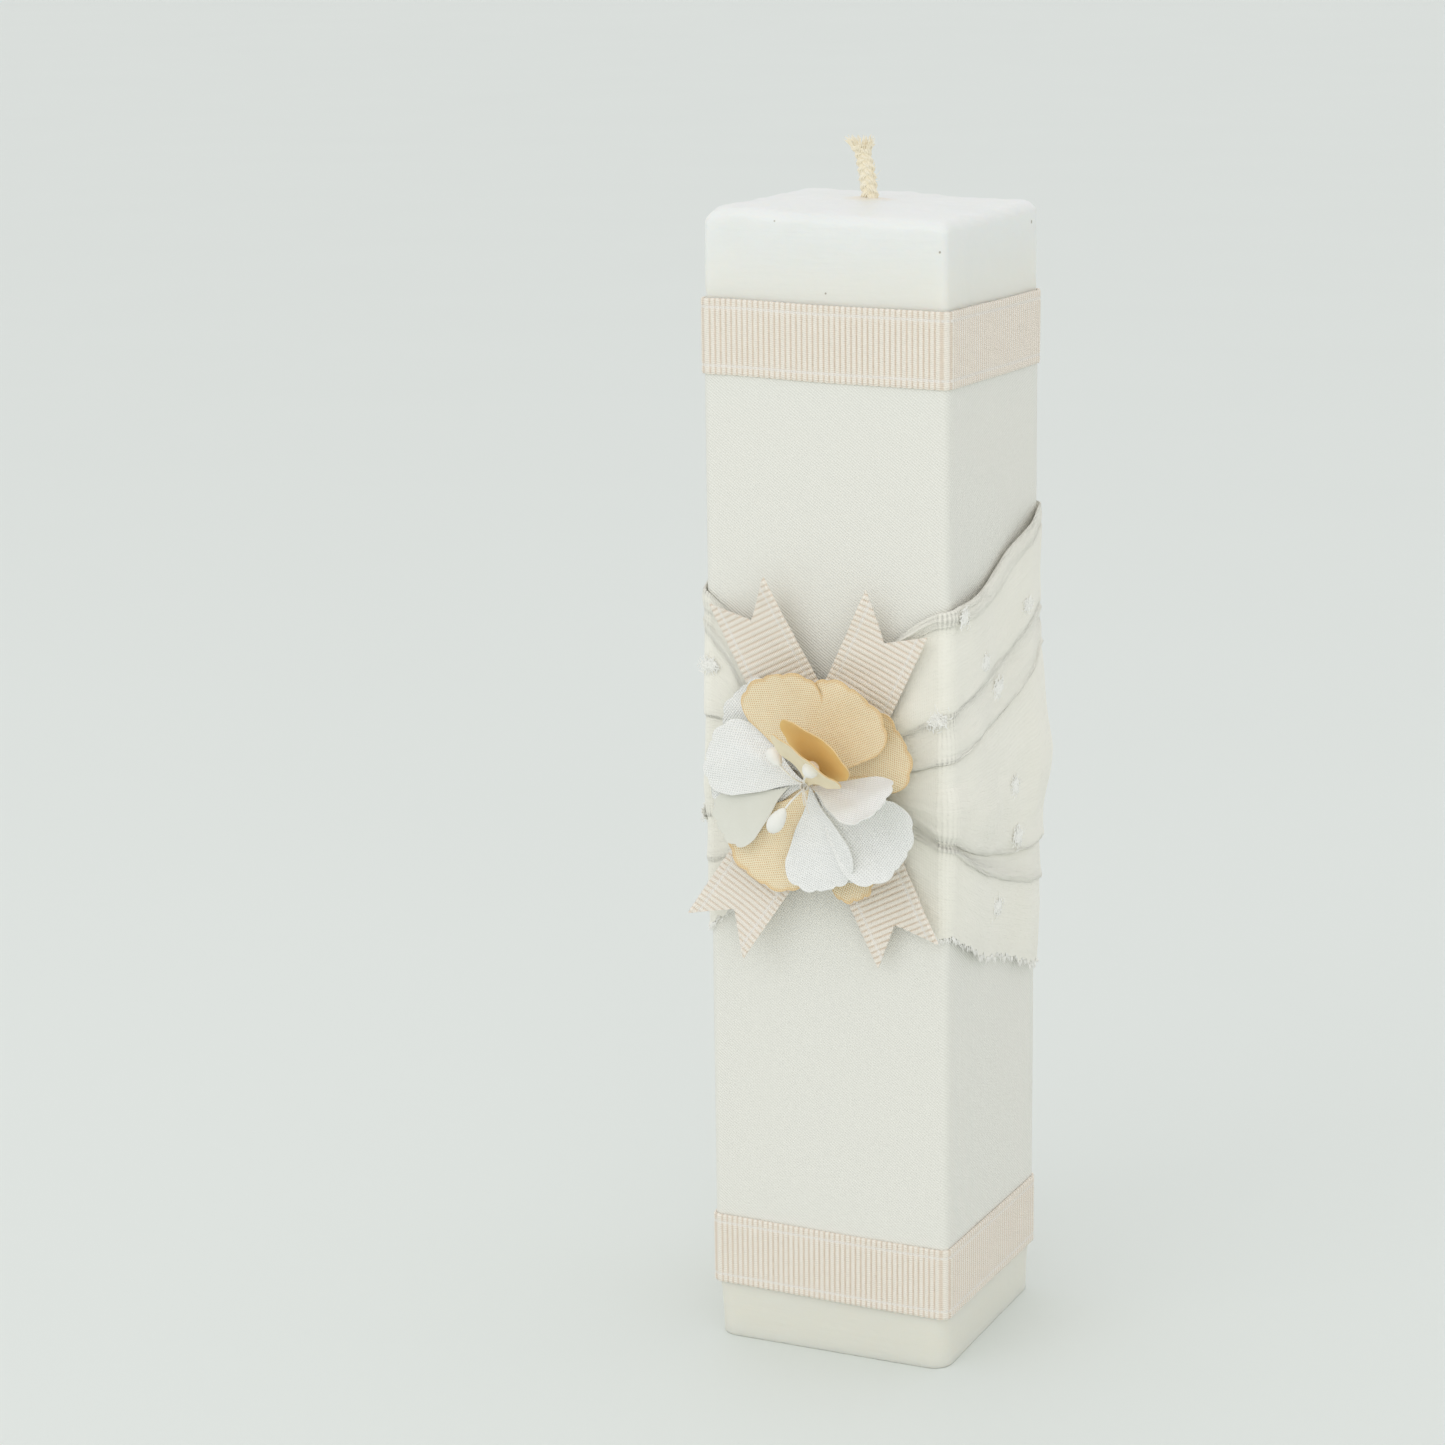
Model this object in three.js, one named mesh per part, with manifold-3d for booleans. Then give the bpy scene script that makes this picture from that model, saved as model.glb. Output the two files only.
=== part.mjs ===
// Unity candle: a square wax pillar in a satin sleeve, with two grosgrain ribbon bands, a gathered
// voile sash and a flower of die-cut fabric florets on two crossed, swallow-tailed ribbons.
//
// Millimetres, +Z up. The origin is the middle of the candle's base. The flower is on the -Y face.
import * as THREE from 'three';
import { mergeVertices } from 'three/addons/utils/BufferGeometryUtils.js';
import Module from 'manifold-3d';

const wasm = await Module();
wasm.setup();

// ---- driving dimensions ---------------------------------------------------------------------
const CANDLE_WIDTH = 50;
const CANDLE_HEIGHT = 228.7; // at the middle of the top, below the dome
const TOP_TILT = { x: -0.041, y: 0.02 }; // rise of the top per millimetre, because it was cut askew
const TOP_DOME = 1.1;
const CORNER_RADIUS = 1.2; // of the upright edges
const FOOT_CORNER_RADIUS = 4; // the same edges where they meet the base
const FOOT_TAPER_TOP = 20;
const BASE_EDGE = 0.8;
const TOP_EDGE = 1.2;

const WICK_WIDTH = 4;
const WICK_THICKNESS = 2.6;
const WICK_TIP = new THREE.Vector3(-2.9, 0, 241.2);
const WICK_BEND_HEIGHT = 229.5;
const WICK_BORE_RADIUS = 2.4;
const SUSTAINER_HEIGHT = 1.5; // of the disc above the base
const SUSTAINER_RADIUS = 8;
const SUSTAINER_DISC = 0.5;
const SUSTAINER_NECK = { outer: 3.4, inner: 2.3, height: 5 };
const POCKET_GAP = 0.3;

const FABRIC_GAP = 0.1;
const SATIN = { thickness: 0.25, low: 12.5, high: 210, overlap: 8 };
const TAPE = { thickness: 0.1, width: 6 };
const TAPE_GAP = 0.05;
const RIBBON_WIDTH = 14.6;
const RIBBON_THICKNESS = 0.4;
const BAND_OVERLAP = 10;
const UPPER_BAND = { low: 197, tiltX: -0.026, tiltY: 0 };
const LOWER_BAND = { low: 11, tiltX: -0.012, tiltY: -0.014 };

const FLOWER = new THREE.Vector3(1.4, 0, 120);
const SASH = { thickness: 1.6, gap: 0.3, neckGap: 0.8 };
const TIE = { radius: 0.12, reach: 9.5 };
const TAIL_NOTCH = 6.7;
const CROSS_RIBBON = { thickness: 0.4, step: 0.55, curl: 1.6 };
const GLUE_PAD = { radius: 6, thickness: 1.1 };
const LAYER_GAP = 0.18; // between the layers that are stacked on the front face
const FLORET = { petals: 5, radius: 22, waist: 5, hole: 1.3, thickness: 0.3, step: 0.8 };
const STAMEN = { stem: 0.25, headRadius: 1.65, headLength: 5 };

// ---- materials --------------------------------------------------------------------------------
const material = (name, color, roughness, metalness = 0) =>
  new THREE.MeshStandardMaterial({ name, color, roughness, metalness });
const WAX = material('wax', 0xf1f3f0, 0.42);
const COTTON = material('wick_cotton', 0xefe4cb, 0.9);
const TIN = material('sustainer_metal', 0xc4c6c8, 0.35, 1);
const SATIN_CLOTH = material('satin', 0xf3efe8, 0.38);
const TAPE_FILM = material('clear_tape', 0xf2f0ea, 0.5);
const BLUSH = material('blush_grosgrain', 0xf2dccd, 0.5);
const VOILE = material('voile', 0xf3f0e3, 0.75);
const THREAD = material('thread', 0xf4efe2, 0.7);
const GLUE = material('hot_melt', 0xe9e6db, 0.35);
const GOLD_CLOTH = material('gold_cloth', 0xe3c38c, 0.6);
const WHITE_CLOTH = material('white_cloth', 0xf3f3ef, 0.55);
const PEARL = material('stamen_cotton', 0xf8f5ea, 0.5);

// ---- helpers ----------------------------------------------------------------------------------
const object = new THREE.Group();
object.name = 'unity_candle';

function solid(geometry) {
  geometry.deleteAttribute('normal');
  geometry.deleteAttribute('uv');
  const merged = mergeVertices(geometry, 1e-4);
  if (signedVolume(merged) < 0) {
    const index = merged.index.array;
    for (let i = 0; i < index.length; i += 3) {
      [index[i], index[i + 1]] = [index[i + 1], index[i]];
    }
  }
  merged.computeVertexNormals();
  return merged;
}

function signedVolume(geometry) {
  const position = geometry.attributes.position;
  const [a, b, c] = [new THREE.Vector3(), new THREE.Vector3(), new THREE.Vector3()];
  let volume = 0;
  for (let i = 0; i < geometry.index.count; i += 3) {
    a.fromBufferAttribute(position, geometry.index.getX(i));
    b.fromBufferAttribute(position, geometry.index.getX(i + 1));
    c.fromBufferAttribute(position, geometry.index.getX(i + 2));
    volume += a.dot(b.cross(c)) / 6;
  }
  return volume;
}

function move(geometry, place) {
  const position = geometry.attributes.position;
  for (let i = 0; i < position.count; i += 1) {
    const target = place(position.getX(i), position.getY(i), position.getZ(i));
    position.setXYZ(i, target.x, target.y, target.z);
  }
  return geometry;
}

function add(name, geometry, paint) {
  const mesh = new THREE.Mesh(solid(geometry), paint);
  mesh.name = name;
  object.add(mesh);
}

// A thin closed sheet of columns x rows cells. place(column, row, side) gives each vertex, where
// side is 0 on the face towards the candle and 1 on the outer face.
function sheet(columns, rows, place) {
  const box = new THREE.BoxGeometry(1, 1, 1, columns, rows, 1);
  return move(box, (x, y, z) => {
    const column = Math.round((x + 0.5) * columns);
    const row = Math.round((y + 0.5) * rows);
    return place(column, row, z + 0.5);
  });
}

// A closed body of rings: place(segment, ring) gives each vertex, and the first and last ring are
// single points on the axis.
function rings(segments, ringCount, place) {
  const profile = [];
  for (let k = 0; k < ringCount; k += 1) {
    profile.push(new THREE.Vector2(k === 0 || k === ringCount - 1 ? 0 : 1, k));
  }
  return move(new THREE.LatheGeometry(profile, segments), (x, y, z) => {
    const segment = Math.round((Math.atan2(x, z) / (2 * Math.PI)) * segments + segments) % segments;
    return place(segment, Math.round(y));
  });
}

// A round or oval bar along a curve. radius(t) gives its half width and half thickness at t.
function bar(curve, segments, stations, radius) {
  const across = new THREE.Vector3(1, 0, 0);
  return rings(segments, stations.length + 2, (segment, ring) => {
    const t = stations[THREE.MathUtils.clamp(ring - 1, 0, stations.length - 1)];
    const centre = curve.getPoint(t);
    if (ring === 0 || ring === stations.length + 1) return centre;
    const tangent = curve.getTangent(t);
    const wide = across.clone().addScaledVector(tangent, -across.dot(tangent)).normalize();
    const thick = tangent.clone().cross(wide);
    const angle = (segment / segments) * 2 * Math.PI;
    const [a, b] = radius(t);
    return centre.addScaledVector(wide, a * Math.cos(angle)).addScaledVector(thick, b * Math.sin(angle));
  });
}

const evenly = (count) => Array.from({ length: count + 1 }, (_, i) => i / count);

// ---- the candle's outline, as a path that fabric is wrapped along ---------------------------------
const HALF = CANDLE_WIDTH / 2;
const FLAT = CANDLE_WIDTH - 2 * CORNER_RADIUS;
const SIDE = FLAT + (Math.PI / 2) * CORNER_RADIUS;
const GIRTH = 4 * SIDE;
const ARC_STEPS = 4;

// The point of the outline at distance s from the middle of the front face, towards +X, moved
// outwards by offset, and at height z.
function around(s, offset, z) {
  const t = THREE.MathUtils.euclideanModulo(s + FLAT / 2, GIRTH);
  const face = Math.floor(t / SIDE);
  const along = t - face * SIDE;
  const angle = Math.max(0, along - FLAT) / CORNER_RADIUS;
  const outwards = new THREE.Vector3(Math.sin(angle), -Math.cos(angle), 0);
  const middle = new THREE.Vector3(Math.min(along, FLAT) - FLAT / 2, CORNER_RADIUS - HALF, 0);
  const point = middle.addScaledVector(outwards, CORNER_RADIUS + offset);
  point.applyAxisAngle(new THREE.Vector3(0, 0, 1), face * (Math.PI / 2));
  return point.setZ(z);
}

// The distances at which a strip from start to end bends round a corner, with any others wanted.
function stations(start, end, others) {
  const list = [start, end, ...others];
  for (let corner = -1; corner < 9; corner += 1) {
    for (let step = 0; step <= ARC_STEPS; step += 1) {
      list.push(FLAT / 2 + corner * SIDE + (step / ARC_STEPS) * (SIDE - FLAT));
    }
  }
  return list.filter((s) => s >= start && s <= end).sort((a, b) => a - b);
}

// ---- wax --------------------------------------------------------------------------------------
const topRise = (x, y) => TOP_TILT.x * x + TOP_TILT.y * y;

function waxGeometry() {
  const cornerAt = (z) => {
    const risen = THREE.MathUtils.smoothstep(z, 0, FOOT_TAPER_TOP);
    return THREE.MathUtils.lerp(FOOT_CORNER_RADIUS, CORNER_RADIUS, risen);
  };
  const wallTop = CANDLE_HEIGHT - TOP_EDGE;
  const levels = [
    { z: 0, inset: HALF },
    { z: 0, inset: BASE_EDGE },
    { z: BASE_EDGE * 0.3, inset: BASE_EDGE * 0.3 },
    { z: BASE_EDGE, inset: 0 },
    { z: FOOT_TAPER_TOP / 3, inset: 0 },
    { z: (FOOT_TAPER_TOP * 2) / 3, inset: 0 },
    { z: FOOT_TAPER_TOP, inset: 0 },
    { z: wallTop, inset: 0, tilted: true },
    { z: wallTop + TOP_EDGE * 0.7, inset: TOP_EDGE * 0.3, tilted: true },
    { z: CANDLE_HEIGHT, inset: TOP_EDGE, tilted: true },
    { z: CANDLE_HEIGHT + TOP_DOME * 0.7, inset: HALF * 0.45, tilted: true },
    { z: CANDLE_HEIGHT + TOP_DOME, inset: HALF, tilted: true },
  ];
  const cornerSteps = 6;
  const segments = 4 * cornerSteps;
  return rings(segments, levels.length, (segment, ring) => {
    const level = levels[ring];
    const half = HALF - level.inset;
    const radius = Math.min(cornerAt(level.z), half);
    const corner = Math.floor(segment / cornerSteps);
    const turn = ((segment % cornerSteps) / (cornerSteps - 1)) * (Math.PI / 2);
    const point = new THREE.Vector3(half - radius, half - radius, 0);
    point.add(new THREE.Vector3(Math.cos(turn), Math.sin(turn), 0).multiplyScalar(radius));
    point.applyAxisAngle(new THREE.Vector3(0, 0, 1), corner * (Math.PI / 2));
    return point.setZ(level.z + (level.tilted ? topRise(point.x, point.y) : 0));
  });
}

function latheZ(points, segments) {
  const lathe = new THREE.LatheGeometry(points.map(([r, z]) => new THREE.Vector2(r, z)), segments);
  return lathe.rotateX(Math.PI / 2);
}

const toManifold = (geometry) =>
  new wasm.Manifold(new wasm.Mesh({
    numProp: 3,
    vertProperties: geometry.attributes.position.array,
    triVerts: new Uint32Array(geometry.index.array),
  }));

function fromManifold(body) {
  const mesh = body.getMesh();
  const geometry = new THREE.BufferGeometry();
  geometry.setAttribute('position', new THREE.BufferAttribute(mesh.vertProperties, 3));
  geometry.setIndex(new THREE.BufferAttribute(mesh.triVerts, 1));
  return geometry;
}

// The pocket that the sustainer fills, with the wick's bore, which runs out of the top.
function wickCavity() {
  const discTop = SUSTAINER_HEIGHT + SUSTAINER_DISC + POCKET_GAP;
  const neckTop = SUSTAINER_HEIGHT + SUSTAINER_NECK.height + POCKET_GAP;
  return solid(latheZ([
    [0, SUSTAINER_HEIGHT - POCKET_GAP],
    [SUSTAINER_RADIUS + POCKET_GAP, SUSTAINER_HEIGHT - POCKET_GAP],
    [SUSTAINER_RADIUS + POCKET_GAP, discTop],
    [SUSTAINER_NECK.outer + POCKET_GAP, discTop],
    [SUSTAINER_NECK.outer + POCKET_GAP, neckTop],
    [WICK_BORE_RADIUS, neckTop],
    [WICK_BORE_RADIUS, CANDLE_HEIGHT + TOP_DOME + 5],
    [0, CANDLE_HEIGHT + TOP_DOME + 5],
  ], 16));
}

add('wax_pillar', fromManifold(toManifold(solid(waxGeometry())).subtract(toManifold(wickCavity()))), WAX);

add('wick_sustainer', latheZ([
  [SUSTAINER_NECK.inner, SUSTAINER_HEIGHT],
  [SUSTAINER_RADIUS, SUSTAINER_HEIGHT],
  [SUSTAINER_RADIUS, SUSTAINER_HEIGHT + SUSTAINER_DISC],
  [SUSTAINER_NECK.outer, SUSTAINER_HEIGHT + SUSTAINER_DISC],
  [SUSTAINER_NECK.outer, SUSTAINER_HEIGHT + SUSTAINER_NECK.height],
  [SUSTAINER_NECK.inner, SUSTAINER_HEIGHT + SUSTAINER_NECK.height],
  [SUSTAINER_NECK.inner, SUSTAINER_HEIGHT],
], 16), TIN);

// ---- wick: a flat braid from the sustainer to a frayed tip that leans to -X ------------------------
function wickGeometry() {
  const foot = new THREE.Vector3(0, 0, SUSTAINER_HEIGHT);
  const bend = new THREE.Vector3(0, 0, WICK_BEND_HEIGHT);
  const route = new THREE.CurvePath();
  route.add(new THREE.LineCurve3(foot, bend));
  route.add(new THREE.QuadraticBezierCurve3(bend, new THREE.Vector3(-0.6, 0, 235), WICK_TIP));
  const share = (WICK_BEND_HEIGHT - SUSTAINER_HEIGHT) / route.getLength();
  const stub = evenly(6).map((t) => share + (1 - share) * t);
  const flare = (t) => 0.25 * THREE.MathUtils.smoothstep(t, 1 - (1 - share) * 0.25, 1);
  return bar(route, 10, [0, ...stub], (t) => [
    (WICK_WIDTH / 2) * (1 + flare(t)),
    (WICK_THICKNESS / 2) * (1 + flare(t)),
  ]);
}

add('wick', wickGeometry(), COTTON);

// ---- satin sleeve, closed by an overlap on the back ----------------------------------------------
const SEAM = GIRTH / 2;
const SATIN_OUTER = FABRIC_GAP + SATIN.thickness;
const SEAM_RISE = SATIN.thickness + TAPE.thickness + 2 * TAPE_GAP;
const RIDGE = { flat: SATIN.overlap / 2 + 1, ramp: 3 };
const RIDGE_BENDS = [0, RIDGE.ramp / 2, RIDGE.ramp].flatMap((d) => [-RIDGE.flat - d, RIDGE.flat + d]);

// How far the satin's outer face stands off the wax: it is thicker where it overlaps itself.
function overSatin(s) {
  const off = Math.abs(THREE.MathUtils.euclideanModulo(s, GIRTH) - SEAM);
  const fall = THREE.MathUtils.smoothstep(off, RIDGE.flat, RIDGE.flat + RIDGE.ramp);
  return SATIN_OUTER + SEAM_RISE * (1 - fall);
}

// A strip wrapped once round the candle from start, whose end lies over its own start.
function wrap(start, overlap, thickness, rows, base, height) {
  const end = start + GIRTH + overlap;
  const climb = [end - overlap - 3, end - overlap - 0.6];
  const bends = [start + overlap, climb[0], (climb[0] + climb[1]) / 2, climb[1]];
  const ridge = RIDGE_BENDS.flatMap((d) => [SEAM + d, SEAM + GIRTH + d]);
  const list = stations(start, end, [...bends, ...ridge]);
  const rise = thickness + TAPE.thickness + 2 * TAPE_GAP;
  const lift = (s) => rise * THREE.MathUtils.smoothstep(s, ...climb);
  return sheet(list.length - 1, rows, (column, row, side) => {
    const s = list[column];
    return around(s, base(s) + lift(s) + side * thickness, height(s, row / rows));
  });
}

add('satin_wrap', wrap(
  SEAM - SATIN.overlap / 2, SATIN.overlap, SATIN.thickness, 1,
  () => FABRIC_GAP,
  (s, v) => THREE.MathUtils.lerp(SATIN.low, SATIN.high, v),
), SATIN_CLOTH);

add('satin_seam_tape', sheet(1, 1, (column, row, side) => around(
  SEAM + (column - 0.5) * TAPE.width,
  SATIN_OUTER + TAPE_GAP + side * TAPE.thickness,
  row ? SATIN.high - 2 : SATIN.low + 2,
)), TAPE_FILM);

// ---- ribbon bands, each a little out of level -----------------------------------------------------
const BAND_START = SEAM + 10;
const bandBase = (s) => overSatin(s) + FABRIC_GAP;

function ribbonBand({ low, tiltX, tiltY }) {
  return wrap(BAND_START, BAND_OVERLAP, RIBBON_THICKNESS, 1, bandBase, (s, v) => {
    const point = around(s, 0, 0);
    return low + v * RIBBON_WIDTH + tiltX * point.x + tiltY * point.y;
  });
}

add('upper_ribbon_band', ribbonBand(UPPER_BAND), BLUSH);
add('lower_ribbon_band', ribbonBand(LOWER_BAND), BLUSH);

// ---- sash: pleated into a neck behind the flower and fanned out round the corners -------------------
// Each row is a distance from the middle of the front face and the sash's lowest and highest point.
const SASH_EDGES = [
  [0, 113, 127],
  [8, 105, 137],
  [17, 96, 149.5],
  [HALF, 90.5, 154],
  [HALF + 18, 82, 157],
  [HALF + 40, 74.5, 166],
  [HALF + 50, 72.5, 168.5],
  [SEAM, 72, 169],
  [GIRTH - HALF - 48, 76, 166],
  [GIRTH - HALF - 20, 84, 160],
  [GIRTH - HALF, 88, 155.5],
  [GIRTH - 17, 93, 150],
  [GIRTH - 8, 105, 137],
  [GIRTH, 113, 127],
];

function sashEdge(s, which) {
  const next = Math.max(1, SASH_EDGES.findIndex((row) => row[0] >= s));
  const [from, to] = [SASH_EDGES[next - 1], SASH_EDGES[next]];
  return THREE.MathUtils.mapLinear(s, from[0], to[0], from[which], to[which]);
}

const sashBase = (s) => overSatin(s) + SASH.gap;

function sashGeometry() {
  const rows = 4;
  const start = SASH.neckGap / 2;
  const others = [4, 8, 12, 16, 20].flatMap((d) => [d, GIRTH - d]);
  const faces = [1, 2, 3].flatMap((side) => [-16, -8, 0, 8, 16].map((d) => side * SIDE + d));
  const ridge = RIDGE_BENDS.map((d) => SEAM + d);
  const list = stations(start, GIRTH - start, [...others, ...faces, ...ridge]);
  return sheet(list.length - 1, rows, (column, row, side) => {
    const s = list[column];
    const z = THREE.MathUtils.lerp(sashEdge(s, 1), sashEdge(s, 2), row / rows);
    return around(s, sashBase(s) + side * SASH.thickness, z);
  });
}

add('sash', sashGeometry(), VOILE);

// ---- the thread that holds the sash's neck: one flat loop, in front of the neck and behind it ------
const NECK_BACK = HALF + SATIN_OUTER;
const NECK_FRONT = HALF + SATIN_OUTER + SASH.gap + SASH.thickness;

function tieGeometry() {
  const back = -(NECK_BACK + SASH.gap / 2);
  const front = -(NECK_FRONT + SASH.gap / 2 + TIE.radius);
  const middle = new THREE.Vector2((back + front) / 2, FLOWER.z);
  const unit = 0.1;
  const corners = 4;
  return move(new THREE.TorusGeometry(1, unit, 6, corners), (x, y, z) => {
    const turn = (Math.round((Math.atan2(y, x) / Math.PI) * 2) + 0.5) * (Math.PI / 2);
    const side = new THREE.Vector2(Math.sign(Math.cos(turn)), Math.sign(Math.sin(turn)));
    const out = ((Math.hypot(x, y) - 1) / unit) * TIE.radius;
    return new THREE.Vector3(
      FLOWER.x + (z / unit) * TIE.radius,
      middle.x + side.x * ((back - front) / 2 + out),
      middle.y + side.y * (TIE.reach + out),
    );
  });
}

add('sash_tie_thread', tieGeometry(), THREAD);

// ---- crossed ribbons: each tail ends in a swallow-tail notch ---------------------------------------
const CROSS_Y = -(NECK_FRONT + SASH.gap + 2 * TIE.radius + LAYER_GAP);

function crossRibbon(high, low, y) {
  const columns = 12;
  const rows = 4;
  const middle = new THREE.Vector2(FLOWER.x, FLOWER.z + 2).multiplyScalar(2);
  const control = middle.addScaledVector(high, -0.5).addScaledVector(low, -0.5);
  const route = new THREE.QuadraticBezierCurve(high, control, low);
  return sheet(columns, rows, (column, row, side) => {
    const t = column / columns;
    const across = row / rows - 0.5;
    const notch = TAIL_NOTCH * (1 - 2 * Math.abs(across)) * (2 * t - 1);
    const tangent = route.getTangent(t);
    const fold = notch * Math.abs(2 * t - 1) ** 3;
    const point = route.getPoint(t).addScaledVector(tangent, -fold);
    point.addScaledVector(new THREE.Vector2(-tangent.y, tangent.x), across * RIBBON_WIDTH);
    const curl = CROSS_RIBBON.curl * Math.abs(2 * t - 1) ** 4;
    return new THREE.Vector3(point.x, y - curl - side * CROSS_RIBBON.thickness, point.y);
  });
}

add('cross_ribbon_a', crossRibbon(
  new THREE.Vector2(-16.9, 156.5), new THREE.Vector2(18.9, 86.7), CROSS_Y,
), BLUSH);
add('cross_ribbon_b', crossRibbon(
  new THREE.Vector2(15.7, 154.1), new THREE.Vector2(-21.8, 86.8), CROSS_Y - CROSS_RIBBON.step,
), BLUSH);

// ---- flower ---------------------------------------------------------------------------------------
const PAD_Y = CROSS_Y - CROSS_RIBBON.step - CROSS_RIBBON.thickness - LAYER_GAP;
const FLORET_Y = PAD_Y - GLUE_PAD.thickness - LAYER_GAP;

// Turns a lathe about Z into one about the flower's axis, which points along -Y.
const toFlower = (geometry, y) => geometry.rotateX(Math.PI / 2).translate(FLOWER.x, y, FLOWER.z);

add('glue_pad', toFlower(latheZ([
  [0, 0],
  [GLUE_PAD.radius, 0],
  [GLUE_PAD.radius * 0.85, GLUE_PAD.thickness * 0.7],
  [GLUE_PAD.radius * 0.4, GLUE_PAD.thickness],
  [0, GLUE_PAD.thickness],
], 16), PAD_Y), GLUE);

const floretCup = (r) => 0.2 * r + 0.002 * r * r;

// Petals cut from one piece of cloth, cupped forward, with a hole for the stamens.
function floretGeometry(firstPetal, layer) {
  const segments = 12 * FLORET.petals;
  const ringCount = 3;
  const outline = (angle) => {
    const lobe = Math.abs(Math.cos((FLORET.petals / 2) * (angle - firstPetal))) ** 0.4;
    return THREE.MathUtils.lerp(FLORET.waist, FLORET.radius, lobe);
  };
  const profile = [];
  for (let k = 0; k <= ringCount; k += 1) profile.push(new THREE.Vector2(1 + k, 0));
  for (let k = ringCount; k >= 0; k -= 1) profile.push(new THREE.Vector2(1 + k, 1));
  profile.push(profile[0].clone());
  return move(new THREE.LatheGeometry(profile, segments), (x, side, z) => {
    const angle = Math.atan2(z, x);
    const share = (Math.hypot(x, z) - 1) / ringCount;
    const r = THREE.MathUtils.lerp(FLORET.hole, outline(angle), share);
    const y = FLORET_Y - layer * FLORET.step - floretCup(r) - side * FLORET.thickness;
    return new THREE.Vector3(FLOWER.x + r * Math.cos(angle), y, FLOWER.z + r * Math.sin(angle));
  });
}

const degrees = THREE.MathUtils.degToRad;
add('floret_gold_back', floretGeometry(degrees(36), 0), GOLD_CLOTH);
add('floret_white_back', floretGeometry(degrees(49), 1), WHITE_CLOTH);
add('floret_gold_front', floretGeometry(degrees(61), 2), GOLD_CLOTH);
add('floret_white_front', floretGeometry(degrees(17), 3), WHITE_CLOTH);

// ---- stamens: three stems that rise together through the florets, then lean apart -------------------
const STEM_FOOT_Y = FLORET_Y - 0.1;
const STEM_BEND_Y = FLORET_Y - 3 * FLORET.step - 2.6;

function stamenGeometry(turn, head) {
  const beside = new THREE.Vector3(Math.cos(turn), 0, Math.sin(turn)).multiplyScalar(0.55);
  const foot = FLOWER.clone().add(beside).setY(STEM_FOOT_Y);
  const bend = FLOWER.clone().add(beside).setY(STEM_BEND_Y);
  const rise = bend.clone().setY(STEM_BEND_Y - 2);
  const route = new THREE.CurvePath();
  route.add(new THREE.LineCurve3(foot, bend));
  route.add(new THREE.QuadraticBezierCurve3(bend, rise, head));
  const length = route.getLength();
  const headStart = 1 - STAMEN.headLength / length;
  const headSteps = [0.02, 0.15, 0.3, 0.45, 0.6, 0.75, 0.88, 0.97, 1];
  const stem = [0, 0.2, 0.4, 0.55, 0.7, 0.85].map((t) => t * headStart);
  const list = [...stem, ...headSteps.map((h) => headStart + (1 - headStart) * h)];
  return bar(route, 8, list, (t) => {
    const h = Math.max(0, (t - headStart) / (1 - headStart));
    const swell = Math.sqrt(Math.max(0, 1 - (2 * h ** 1.4 - 1) ** 2));
    const r = h >= 1 ? STAMEN.stem / 2 : STAMEN.stem + (STAMEN.headRadius - STAMEN.stem) * swell;
    return [r, r];
  });
}

add('stamen_left', stamenGeometry(degrees(150), new THREE.Vector3(-6.4, -39.5, 127.4)), PEARL);
add('stamen_middle', stamenGeometry(degrees(30), new THREE.Vector3(4.4, -42.6, 125.7)), PEARL);
add('stamen_lower', stamenGeometry(degrees(270), new THREE.Vector3(-6.9, -41.3, 112.3)), PEARL);

add('stamen_binding', toFlower(latheZ([
  [0.9, 0], [1.15, 0.1], [1.25, 0.5], [1.15, 0.9], [0.9, 1], [0.9, 0],
], 12), FLORET_Y - 3 * FLORET.step - 0.9), THREAD);

export default object;
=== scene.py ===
"""Unity candle: the looks of a square pillar candle with a satin sleeve, ribbon bands, a sash and a flower.

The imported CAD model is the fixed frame. Shapes here are worked out in millimetres and written to
Blender in metres. +Z is up and the flower is on the -Y face.
"""

import math

import bpy
import numpy as np
from mathutils import Euler, Matrix, Vector


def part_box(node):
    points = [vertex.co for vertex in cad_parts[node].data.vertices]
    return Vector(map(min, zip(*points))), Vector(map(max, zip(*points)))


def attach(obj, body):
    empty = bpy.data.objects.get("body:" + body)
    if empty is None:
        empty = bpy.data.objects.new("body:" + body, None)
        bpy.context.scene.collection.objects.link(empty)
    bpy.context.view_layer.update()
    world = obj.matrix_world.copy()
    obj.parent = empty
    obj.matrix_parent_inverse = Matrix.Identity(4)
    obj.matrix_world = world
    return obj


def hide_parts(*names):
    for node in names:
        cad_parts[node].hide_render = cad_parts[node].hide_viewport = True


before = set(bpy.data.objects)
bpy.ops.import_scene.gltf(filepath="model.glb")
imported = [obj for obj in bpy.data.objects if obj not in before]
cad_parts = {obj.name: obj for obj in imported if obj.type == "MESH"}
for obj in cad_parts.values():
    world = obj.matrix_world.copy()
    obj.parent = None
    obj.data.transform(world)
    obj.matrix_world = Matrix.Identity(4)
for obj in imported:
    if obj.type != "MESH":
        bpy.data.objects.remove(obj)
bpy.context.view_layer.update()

MM = 0.001
BODY = "root"

# ---- sizes in millimetres, from the frame where it has them ----


def node_box(node):
    """(lowest, highest) corner of a CAD node, in millimetres."""
    return [np.array(corner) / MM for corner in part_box(node)]


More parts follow.
